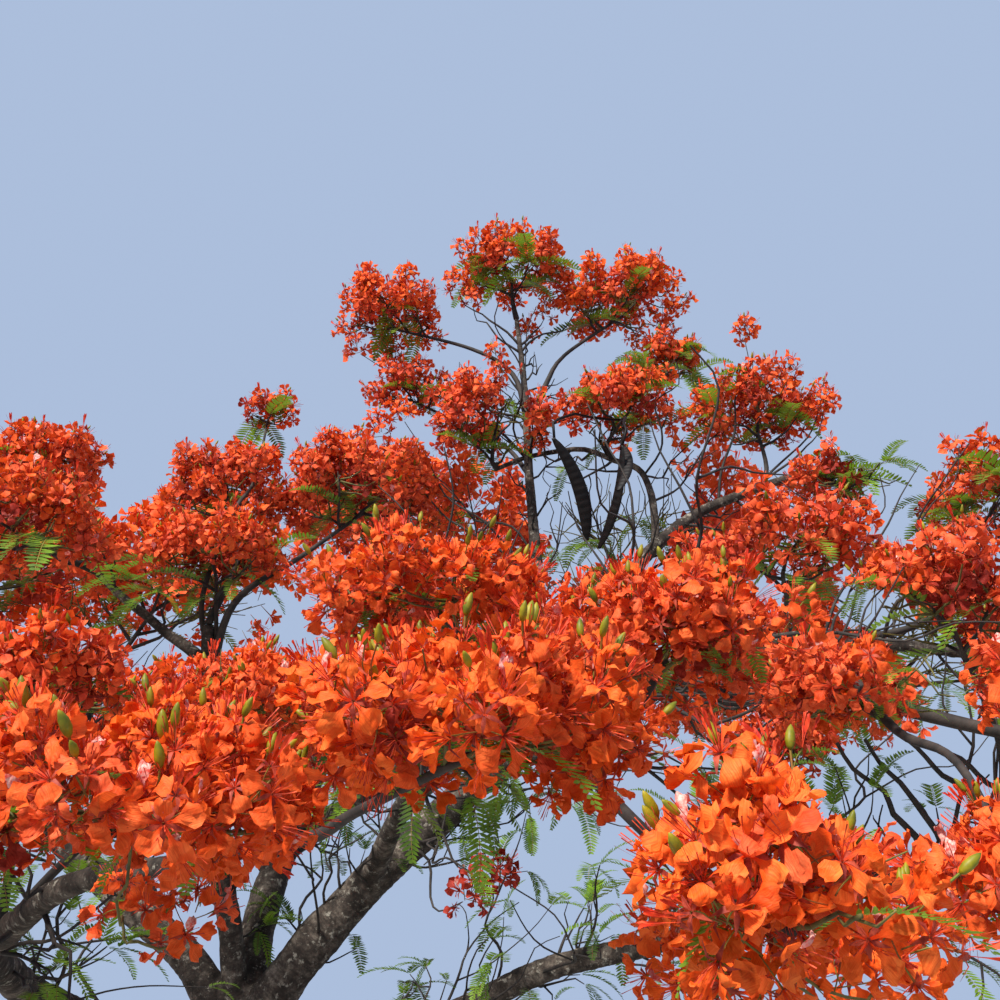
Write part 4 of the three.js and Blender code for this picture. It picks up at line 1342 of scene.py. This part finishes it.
MOST_BLOOM = 1.1
FLOWERS_LEAST = 7
FLOWERS_MORE = 4
FOLD_FROM = 18
FOLD_SPAN = 84
FOLD_POWER = 0.8
FLOWER_UPTURN = 0.36
FLOWER_SIZES = (0.86, 1.14)
FLOWER_GROWTH = (0.9, 1.08)
FLOWER_SWAY = 0.25
ROLLED_TIPS = 0.75
# Painted shade: flowers on inner shoots, and flowers low in their mass, are dealt a deeper red tint where
# shade falls inside and under the blossom. Each shoot also takes a random tint of its own.
INNER_PAINTED_SHADE = 2.2
HEIGHT_PAINTED_SHADE = 0.8
PAINTED_SHADE_LEVEL = 0.25
SHOOT_SHADE = 1.4
BUDS_MORE = {"near": 2.2, "front": 1.6, "far": 1.6}
BUD_FOLDS = (10, 55)
BUD_UPTURN = 1.2
BUD_SCATTER = 0.05
BUD_SIZES = (0.65, 0.95)
BUD_REACH = {"near": 0.083, "front": 0.07, "far": 0.055}
flowers, buds = [], []
for shoot in shoots:
    roll, up, mass = shoot["roll"], shoot["up"], shoot["mass"]
    detail = mass["detail"]
    height = (shoot["place"].z - mass["middle"].z) / (mass["size"] * SQUASH)
    # The tint: the mass's tint, plus painted shade for inner shoots and for low places in the mass, plus
    # the shoot's own random tint
    shade = mass["tint"] + (0 if shoot["outer"] else INNER_PAINTED_SHADE)
    shade += HEIGHT_PAINTED_SHADE * (PAINTED_SHADE_LEVEL - min(max(height, -1), 1)) + SHOOT_SHADE * (roll() - 0.5)
    side = up.orthogonal().normalized()
    count = FLOWERS_LEAST + int(FLOWERS_MORE * roll())
    count = shoot.get("few") or (count if shoot["outer"] else count // 2 + 1)
    phase = 360 * roll()
    for k in range(count):
        fold = math.radians(FOLD_FROM + FOLD_SPAN * ((k + 0.5 * roll()) / count) ** FOLD_POWER)
        spin = Quaternion(up, math.radians(phase + k * GOLDEN_ANGLE))
        way = up * math.cos(fold) + (spin @ side) * math.sin(fold)
        way = (way + UP * FLOWER_UPTURN).normalized()
        knot = shoot["base"] + up * (SHOOT_AXIS * min(mass["bloom"], 1) * (1 - k / count))
        size = min(mass["bloom"], MOST_BLOOM) * within(FLOWER_SIZES, roll)
        form = FORM_DEAL[int(len(FORM_DEAL) * roll())]
        if k == 0 and roll() < ROLLED_TIPS:
            form = "rolled"
        choices = [i for i, (kind, _) in enumerate(flower_forms) if kind == form]
        shape = choices[int(len(choices) * roll())]
        place = knot + way * (STALK_LENGTH * size)
        middle = place + way * (0.5 * PETAL_LENGTH * size)
        above = Vector((FLOWER_SWAY * (roll() - 0.5), FLOWER_SWAY * (roll() - 0.5), 1))
        tint = min(max(round(shade + roll() - 0.5), 0), len(TINTS) - 1)
        if not is_in_opening(middle):
            flowers.append((detail, tint, (place, turn_towards(way, above), size, shape)))
    for k in range(int(BUDS_MORE[detail] * roll()) + 1 if shoot["outer"] else 0):
        fold = math.radians(within(BUD_FOLDS, roll))
        spin = Quaternion(up, math.radians(360 * roll()))
        way = (up * math.cos(fold) + (spin @ side) * math.sin(fold) + UP * BUD_UPTURN).normalized()
        reach = BUD_REACH[detail] + BUD_SCATTER * roll()
        place = shoot["place"] + way * (reach * min(mass["bloom"], 1))
        size = within(BUD_SIZES, roll)
        if not is_in_opening(place):
            buds.append((place, turn_towards(way, side), size, list(DETAILS).index(detail)))

TINT_COLOURS = {
    "orange": ("ff7322", "d8360e"),
    "flame": ("fe6a24", "c22e0d"),
    "scarlet": ("fb6a34", "ae240e"),
    "crimson": ("ea5834", "8a180c"),
    "maroon": ("ac301c", "560f09"),
}
# The lighter colour of the petals' random patches; it is partly a painted highlight
LIGHTER_AND_HIGHLIGHT = (1.2, 0.025)
PETAL_PATCH = 0.034
CRUMPLE_SIZE = 0.007
VEIN_SCALE = (14, 2.2, 1)
VEIN_HEIGHT = 0.4


def petal_material(tint):
    blade, claw = (colour(code) for code in TINT_COLOURS[tint])
    made, start = new_material(f"petal_{tint}")
    mark, place = start.marks(), start.places()
    veins = (mark * VEIN_SCALE).grain(1.0, 2)
    light = tuple(min(1, c * LIGHTER_AND_HIGHLIGHT[0] + LIGHTER_AND_HIGHLIGHT[1]) for c in blade[:3]) + (1,)
    deep = tuple((a + b) / 2 for a, b in zip(blade, claw))
    # Random patches from a deeper tone to a lighter one, the lighter partly a painted highlight
    base = place.grain(PETAL_PATCH, 2).ramp((0.34, 0.0), (0.52, 0.5), (0.7, 1.0)).mix(deep, light)
    base = veins.ramp((0.42, 0.45), (0.6, 0.0)).mix(base, claw)
    base = mark.part(1).ramp((0.12, 1.0), (0.52, 0.0)).mix(base, claw)
    height = place.grain(CRUMPLE_SIZE, 2) + veins * VEIN_HEIGHT
    start.finish(base, (height, 0.45, 0.003), roughness=0.55, shine=0.12, glow=0.2, through=blade)
    return made


HEART_DARK = colour("901808")
HEART_LIGHT = colour("e45a36")
SEPAL_DARK = colour("6a140c")
SEPAL_LIGHT = colour("c25034")
ROLLED_DARK = colour("b82412")
ROLLED_LIGHT = colour("ee5026")
STALK_GREEN = colour("6f7a2a")
STALK_RED = colour("8a4a26")
PALE_LIGHT = colour("f2d2c4")
PALE_RED = colour("e04a3a")


def plain_material(name, dark, light, size, roughness=0.6, glow=0.0, shine=0.3):
    """Two shades that run into each other in patches of one size, with a little relief."""
    made, start = new_material(name)
    patches = start.places().grain(size, 3)
    base = patches.ramp((0.35, 0.0), (0.65, 1.0)).mix(dark, light)
    start.finish(base, (patches, 0.3, 0.002), roughness, shine, glow, light)
    return made


petal_materials = [petal_material(tint) for tint in TINTS]
heart_material = plain_material("heart", HEART_DARK, HEART_LIGHT, size=0.012)
stalk_material = plain_material("stalk", STALK_GREEN, STALK_RED, size=0.03)
pale_material = plain_material("pale_standard", PALE_LIGHT, PALE_RED, size=0.006, glow=0.3)
sepal_material = plain_material("sepal", SEPAL_DARK, SEPAL_LIGHT, size=0.012, glow=0.15)
rolled_material = plain_material("rolled_petal", ROLLED_DARK, ROLLED_LIGHT, size=0.02, glow=0.2)
flower_tree = scatter_tree("flowers", ["Petal", "Heart", "Stalk", "Pale", "Sepal", "Rolled"])
MOST_TRIANGLES = 190000


def triangles_of(mesh):
    return sum(len(face.vertices) - 2 for face in mesh.polygons)


def scatter_in_parts(name, tree, stands, shapes, sizes, materials):
    """Joined pieces of one kind, as many as keep each of them below the most triangles."""
    most = int(MOST_TRIANGLES / max(triangles_of(shape.data) for shape in shapes.objects))
    for part in range(math.ceil(len(stands) / most)):
        piece = scatter(f"{name}_{part + 1}", tree, stands[part * most:(part + 1) * most], {
            "Shapes": shapes, "Least size": sizes[0], "Most size": sizes[1], "Seed": part, **materials,
        })
        hand_over(piece, mass_nodes)


for detail in DETAILS:
    for tint, tint_name in enumerate(TINTS):
        stands = [stand for kind, deal, stand in flowers if kind == detail and deal == tint]
        name = f"{detail}_flowers_{tint_name}"
        scatter_in_parts(name, flower_tree, stands, flower_shapes[detail], FLOWER_GROWTH, {
            "Petal": petal_materials[tint], "Heart": heart_material, "Stalk": stalk_material,
            "Pale": pale_material, "Sepal": sepal_material, "Rolled": rolled_material,
        })


# Buds. Plump pointed buds 2 to 3.5 cm long, in patches of green and yellow, each on its own
# stalk above the open flowers of a shoot.

BUD_LENGTH = 0.032
BUD_RADIUS = 0.0062
BUD_BEND = 0.004
BUD_STALK = 0.07
BUD_STALK_RADII = (0.0014, 0.0014, 0.002)
BUD_GRIP = 0.001
BUD_PROFILE = [(0, 0.25), (0.12, 0.72), (0.35, 1), (0.65, 0.9), (0.88, 0.5), (1, 0.12)]
BUD_SIDES = {"near": 10, "front": 5, "far": 3}
BUD_GROWTH = (0.9, 1.15)


def bud_mesh(name, sides):
    pile = Pile()
    profile = BUD_PROFILE if sides == BUD_SIDES["near"] else BUD_PROFILE[::2] + BUD_PROFILE[-1:]
    bend = Vector((BUD_BEND, 0, 0))
    path = [UP * (BUD_LENGTH * share) + bend * share ** 2 for share, _ in profile]
    add_tube(pile, path, [BUD_RADIUS * width for _, width in profile], sides, 0)
    stalk = [UP * -BUD_STALK - bend, UP * (-BUD_STALK / 2) + bend, UP * BUD_GRIP]
    add_tube(pile, stalk, BUD_STALK_RADII, STALK_SIDES, 1, open_end=True)
    return pile.mesh(name)


BUD_GREEN = colour("58600c")
BUD_YELLOW = colour("968612")
bud_shapes = shape_collection("bud", [
    bud_mesh(f"bud_{detail}", sides) for detail, sides in BUD_SIDES.items()
])
bud_material = plain_material("bud", BUD_GREEN, BUD_YELLOW, size=0.02, roughness=0.5)
bud_tree = scatter_tree("buds", ["Bud", "Stalk"])
bud_materials = {"Bud": bud_material, "Stalk": stalk_material}
scatter_in_parts("buds", bud_tree, buds, bud_shapes, BUD_GROWTH, bud_materials)


# Leaves. Feathery leaves of up to 34 cm: pairs of narrow side fronds on a thin rib, with the
# tiny leaflets shown as stripes. They are bright green and let light through. They sit under
# and between the blossom and on the lowest bare twigs.

LEAF_LENGTH = 0.36
FROND_PAIRS = 17
FROND_LENGTH = 0.08
FROND_WIDTH = 0.0072
LEAF_BEND = 50
BEND_POWER = 1.2
LEAF_SPREAD = (0.16, 0.78)
SPREAD_POWER = 0.7
RIB_WIDTHS = (0.0016, 0.0006)
FROND_SIZES = (0.9, 1.1)
FROND_LEANS = (0.45, 0.65)
FROND_FOLDS = (0.15, 0.4)
FROND_DROOP = 0.12
FROND_OUTLINE = [(0, 0), (0.18, 1), (0.6, 0.95), (1, 0), (0.6, -0.95), (0.18, -1)]
EVERY_MASS_LEAVES = 4
LEAVES_PER_SIZE = 12
LEAF_PLACES = (0.2, 0.7)
LEAF_CLIMBS = (-30, 20)
LEAF_LEAN = 0.3
TUFT_LEAVES = 4
TUFT_PLACE = 0.85
TUFT_CLIMBS = (-25, 25)
TUFT_LEAN = 0.5
FINE_MORE = 3
FINE_PLACES = (0.1, 0.7)
LEAF_SIZES = {True: (0.2, 0.36), False: (0.5, 0.85)}
LEAF_GROWTH = (0.9, 1.1)
LEAF_SEED = 3000
LEAFY_SEED = 77
LEAFY_SWAY = 1.6
LEAFY_DROOP = 0.32
LEAFY_SIZES = (0.25, 0.55)
LEAFY_HEIGHT = 2.1
LEAFY_MOST = 5
GREEN_TUFT_LEAVES = 5
GREEN_TUFT_CLIMBS = (-35, 35)
GREEN_TUFT_SIZES = (0.35, 0.6)
# Tufts of leaves without blossom on the bare twigs behind the pods, on the right and on the left
GREEN_TUFTS = [
    (1.65, 0.34, 3.19),
    (1.31, 0.26, 3.41),
    (1.27, 0.20, 2.99),
    (1.47, 0.38, 3.08),
    (2.19, -1.01, 2.49),
    (2.66, -0.39, 2.27),
    (2.54, -0.04, 3.36),
    (2.65, -0.13, 3.29),
    (-0.41, -0.44, 2.68),
    (-0.27, -0.52, 2.61),
]


def leaf_mesh(name, seed, fine):
    """A leaf along +Z that bends over towards +X."""
    pile, roll = Pile(), dice(seed)
    place, rib = Vector(), []
    side = Vector((0, 1, 0))
    for i in range(FROND_PAIRS + 2):
        share = i / (FROND_PAIRS + 1)
        bend = math.radians(LEAF_BEND * share ** BEND_POWER)
        way = Vector((math.sin(bend), 0, math.cos(bend)))
        rib.append((place.copy(), way, share))
        place += way * (LEAF_LENGTH / (FROND_PAIRS + 1))
    path = [point for point, _, _ in rib[::3]] + [rib[-1][0]]
    add_strip(pile, path, [RIB_WIDTHS[0]] * (len(path) - 1) + [RIB_WIDTHS[1]], side, 1)
    for point, way, share in rib[1:]:
        spread = math.sin(math.pi * (LEAF_SPREAD[0] + LEAF_SPREAD[1] * share)) ** SPREAD_POWER
        length = FROND_LENGTH * spread * within(FROND_SIZES, roll)
        face = side.cross(way)
        for hand in (-1, 1):
            ahead = way * within(FROND_LEANS, roll)
            out = (side * hand + ahead - face * within(FROND_FOLDS, roll)).normalized()
            edge = out.cross(face).normalized()
            droop = UP * (-FROND_DROOP * length if fine else 0)
            points = [
                point + out * (length * along) + edge * (FROND_WIDTH * across) + droop * along ** 2
                for along, across in FROND_OUTLINE
            ]
            marks = [(across, along, 0) for along, across in FROND_OUTLINE]
            pile.add(points, [range(len(points))], marks)
    return pile.mesh(name)


LEAF_SHAPES = [(41, False), (42, False), (43, False), (44, True), (45, True)]
leaf_shapes = shape_collection("leaf", [
    leaf_mesh(f"leaf_{seed}", seed, fine) for seed, fine in LEAF_SHAPES
])
coarse_shapes = sum(not fine for _, fine in LEAF_SHAPES)
fine_shapes = len(LEAF_SHAPES) - coarse_shapes
leaves = []
for mass in MASSES.values():
    roll = dice(mass["seed"] + LEAF_SEED)
    fine = mass["detail"] == "near"
    tuft = mass.get("leaves", 0) * TUFT_LEAVES // (2 if fine else 1)
    count = (EVERY_MASS_LEAVES + LEAVES_PER_SIZE * mass["size"]) * (FINE_MORE if fine else 1)
    count = round(count * mass.get("fronds", 1)) + tuft
    for k in range(count):
        root, neck = mass["twigs"][int(len(mass["twigs"]) * roll())]
        place = root.lerp(neck, within(LEAF_PLACES, roll))
        out = (neck - root).normalized()
        way = direction(360 * roll(), within(LEAF_CLIMBS, roll)) + out * LEAF_LEAN
        if k < tuft:
            place = root.lerp(neck, TUFT_PLACE)
            way = direction(360 * roll(), within(TUFT_CLIMBS, roll)) + out * TUFT_LEAN
        if fine:
            place = root.lerp(neck, within(FINE_PLACES, roll))
            way.z = roll() - 0.5
        way.normalize()
        shape = coarse_shapes + int(fine_shapes * roll()) if fine else int(coarse_shapes * roll())
        leaves.append((place, turn_towards(way, -UP), within(LEAF_SIZES[fine], roll), shape))

roll = dice(LEAFY_SEED)
for middle in GREEN_TUFTS:
    for _ in range(GREEN_TUFT_LEAVES):
        way = direction(360 * roll(), within(GREEN_TUFT_CLIMBS, roll))
        size = within(GREEN_TUFT_SIZES, roll)
        leaves.append((Vector(middle), turn_towards(way, -UP), size, int(coarse_shapes * roll())))
for place, way in twig_tips:
    if place.z < LEAFY_HEIGHT:
        for k in range(int(LEAFY_MOST * roll())):
            out = (way + jitter(roll) * LEAFY_SWAY - UP * LEAFY_DROOP).normalized()
            size = within(LEAFY_SIZES, roll)
            leaves.append((place, turn_towards(out, -UP), size, int(coarse_shapes * roll())))

LEAF_DARK = colour("27440f")
LEAF_LIGHT = colour("82a62c")
LEAF_PATCH = 0.12
STRIPES = 95


def leaf_material():
    made, start = new_material("leaf")
    stripes = start.marks().part(1) * STRIPES
    leaflets = start.node("ShaderNodeMath", {"operation": "SINE"}, {0: stripes})
    base = start.places().grain(LEAF_PATCH, 2).ramp((0.35, 0.0), (0.65, 1.0)).mix(LEAF_DARK, LEAF_LIGHT)
    base = leaflets.ramp((0.2, 0.0), (0.7, 0.45)).mix(base, LEAF_DARK)
    start.finish(base, (leaflets, 0.3, 0.002), roughness=0.5, shine=0.3, glow=0.28, through=LEAF_LIGHT)
    return made


leaf_tree = scatter_tree("leaves", ["Leaf", "Rib"])
leaf_materials = {"Leaf": leaf_material(), "Rib": stalk_material}
scatter_in_parts("leaves", leaf_tree, leaves, leaf_shapes, LEAF_GROWTH, leaf_materials)


# Pods. Three flat woody pods, 33 to 45 cm long, hang on thin stalks in the middle of the
# crown. They are ripe, nearly black and a little bowed, with low bumps over the seeds.

POD_THICKNESS = 0.015
POD_BOW = 0.09
POD_HOST = "middle_right"
PODS = [
    dict(top=(1.22, -0.30, 3.33), tip=(1.36, -0.15, 2.93), width=0.066, turned=10),
    dict(top=(1.50, -0.34, 3.28), tip=(1.41, -0.14, 2.90), width=0.056, turned=45),
    dict(top=(1.52, -0.22, 3.33), tip=(1.47, -0.40, 3.06), width=0.05, turned=25),
]
POD_ROWS = 48
POD_RING = 16
POD_ENDS = (0.012, 0.985)
POD_BLUNTNESS = 0.38
POD_NECK = 0.8
POD_FLATNESS = 0.8
SEAM_SHARPNESS = 6
SEEDS = 15
SEED_HEIGHT = 0.55
POD_STALK_RADIUS = 0.006
POD_STALK_STEPS = 6
POD_STALK_SIDES = 8
POD_STALK_CROOK = 0.05
POD_GRIP = 0.02
POD_SEED = 7000


def add_pod(pile, pod):
    """A pod from its stalk down to its tip, bowed in the plane of its flat sides."""
    top, tip = Vector(pod["top"]), Vector(pod["tip"])
    along = (tip - top).normalized()
    face = Quaternion(along, math.radians(pod["turned"])) @ Vector((0, -1, 0))
    across_way = along.cross(face).normalized()
    face = across_way.cross(along)
    length = (tip - top).length
    points, marks = [], []
    for i in range(POD_ROWS + 1):
        down = i / POD_ROWS
        inside = min(max(down, POD_ENDS[0]), POD_ENDS[1])
        width = math.sin(math.pi * inside) ** POD_BLUNTNESS * (POD_NECK + (1 - POD_NECK) * down)
        bow = POD_BOW * length * 4 * down * (1 - down)
        seed = 0.5 + 0.5 * math.cos(2 * math.pi * SEEDS * down)
        for k in range(POD_RING):
            angle = 2 * math.pi * k / POD_RING
            across = math.copysign(abs(math.cos(angle)) ** POD_FLATNESS, math.cos(angle))
            edge = abs(across) ** SEAM_SHARPNESS
            thick = math.sin(angle) * (1 + SEED_HEIGHT * seed * (1 - edge))
            offset = across_way * (across * pod["width"] / 2 * width - bow)
            offset += face * (thick * POD_THICKNESS / 2 * width)
            points.append(top + along * (length * down) + offset)
            marks.append((across, thick, down))
    faces = [tuple(reversed(range(POD_RING))), tuple(range(len(points) - POD_RING, len(points)))]
    for i in range(POD_ROWS):
        for k in range(POD_RING):
            a, b = i * POD_RING + k, i * POD_RING + (k + 1) % POD_RING
            faces.append((a, b, b + POD_RING, a + POD_RING))
    pile.add(points, faces, marks)


pods = Pile()
host = MASSES[POD_HOST]
roll = dice(host["seed"] + POD_SEED)
for pod in PODS:
    add_pod(pods, pod)
    top = Vector(pod["top"])
    rise = (top - Vector(pod["tip"])).normalized()
    out = (top - host["hub"]).normalized()
    end = top - rise * POD_GRIP
    stalk = curve_between(host["hub"], out, end, -rise, POD_STALK_STEPS, roll, POD_STALK_CROOK)
    add_tube(pods, stalk, [POD_STALK_RADIUS] * len(stalk), POD_STALK_SIDES)
POD_DARK = colour("070505")
POD_LIGHT = colour("17100d")
pod_material = plain_material("pod", POD_DARK, POD_LIGHT, size=0.03, roughness=0.55, shine=0.2)
pods_piece = new_piece("pods", pods.mesh("pods"), pod_material)
hand_over(pods_piece, ["mass_" + POD_HOST])

# The single shapes are joined into the pieces by now, so none of them stays behind
for shapes in (*flower_shapes.values(), bud_shapes, leaf_shapes):
    for shape in list(shapes.objects):
        bpy.data.objects.remove(shape)
    bpy.data.collections.remove(shapes)


# Floor, light and camera: a plain pale floor, a pale sky all round, one soft sun, and the
# photograph's place below the crown, looking up.

FLOOR_RADIUS = 7.5
FLOOR_SIDES = 96
floor_mesh = bmesh.new()
bmesh.ops.create_circle(floor_mesh, cap_ends=True, radius=FLOOR_RADIUS, segments=FLOOR_SIDES)
floor_data = bpy.data.meshes.new("floor")
floor_mesh.to_mesh(floor_data)
floor_mesh.free()
FLOOR_DARK = colour("9b9994")
FLOOR_LIGHT = colour("a5a39e")
floor_material = plain_material("floor", FLOOR_DARK, FLOOR_LIGHT, size=1.2, roughness=0.9)
floor = new_piece("floor", floor_data, floor_material)

SKY_COLOUR = colour("bcd0f0")
SKY_STRENGTH = 0.82
SUN_STRENGTH = 7.0
SUN_WIDTH = 12
SUN_COLOUR = (1.0, 0.96, 0.9)
SUN_TURN = (38, -14, -18)
world = bpy.data.worlds.new("sky")
world.use_nodes = True
sky = world.node_tree.nodes["Background"]
sky.inputs["Color"].default_value = SKY_COLOUR
sky.inputs["Strength"].default_value = SKY_STRENGTH
bpy.context.scene.world = world
sun_data = bpy.data.lights.new("sun", "SUN")
sun_data.energy = SUN_STRENGTH
sun_data.angle = math.radians(SUN_WIDTH)
sun_data.color = SUN_COLOUR
sun = bpy.data.objects.new("sun", sun_data)
sun.rotation_euler = Euler([math.radians(angle) for angle in SUN_TURN])
bpy.context.scene.collection.objects.link(sun)

SENSOR_WIDTH = 36
LENS = 37.73
CAMERA_RISE = 20
camera_data = bpy.data.cameras.new("camera")
camera_data.sensor_width = SENSOR_WIDTH
camera_data.lens = LENS
camera = bpy.data.objects.new("camera", camera_data)
camera.location = VIEWPOINT
camera.rotation_euler = (math.radians(90 + CAMERA_RISE), 0, 0)
bpy.context.scene.collection.objects.link(camera)
bpy.context.scene.camera = camera
bpy.context.scene.view_settings.view_transform = "Standard"
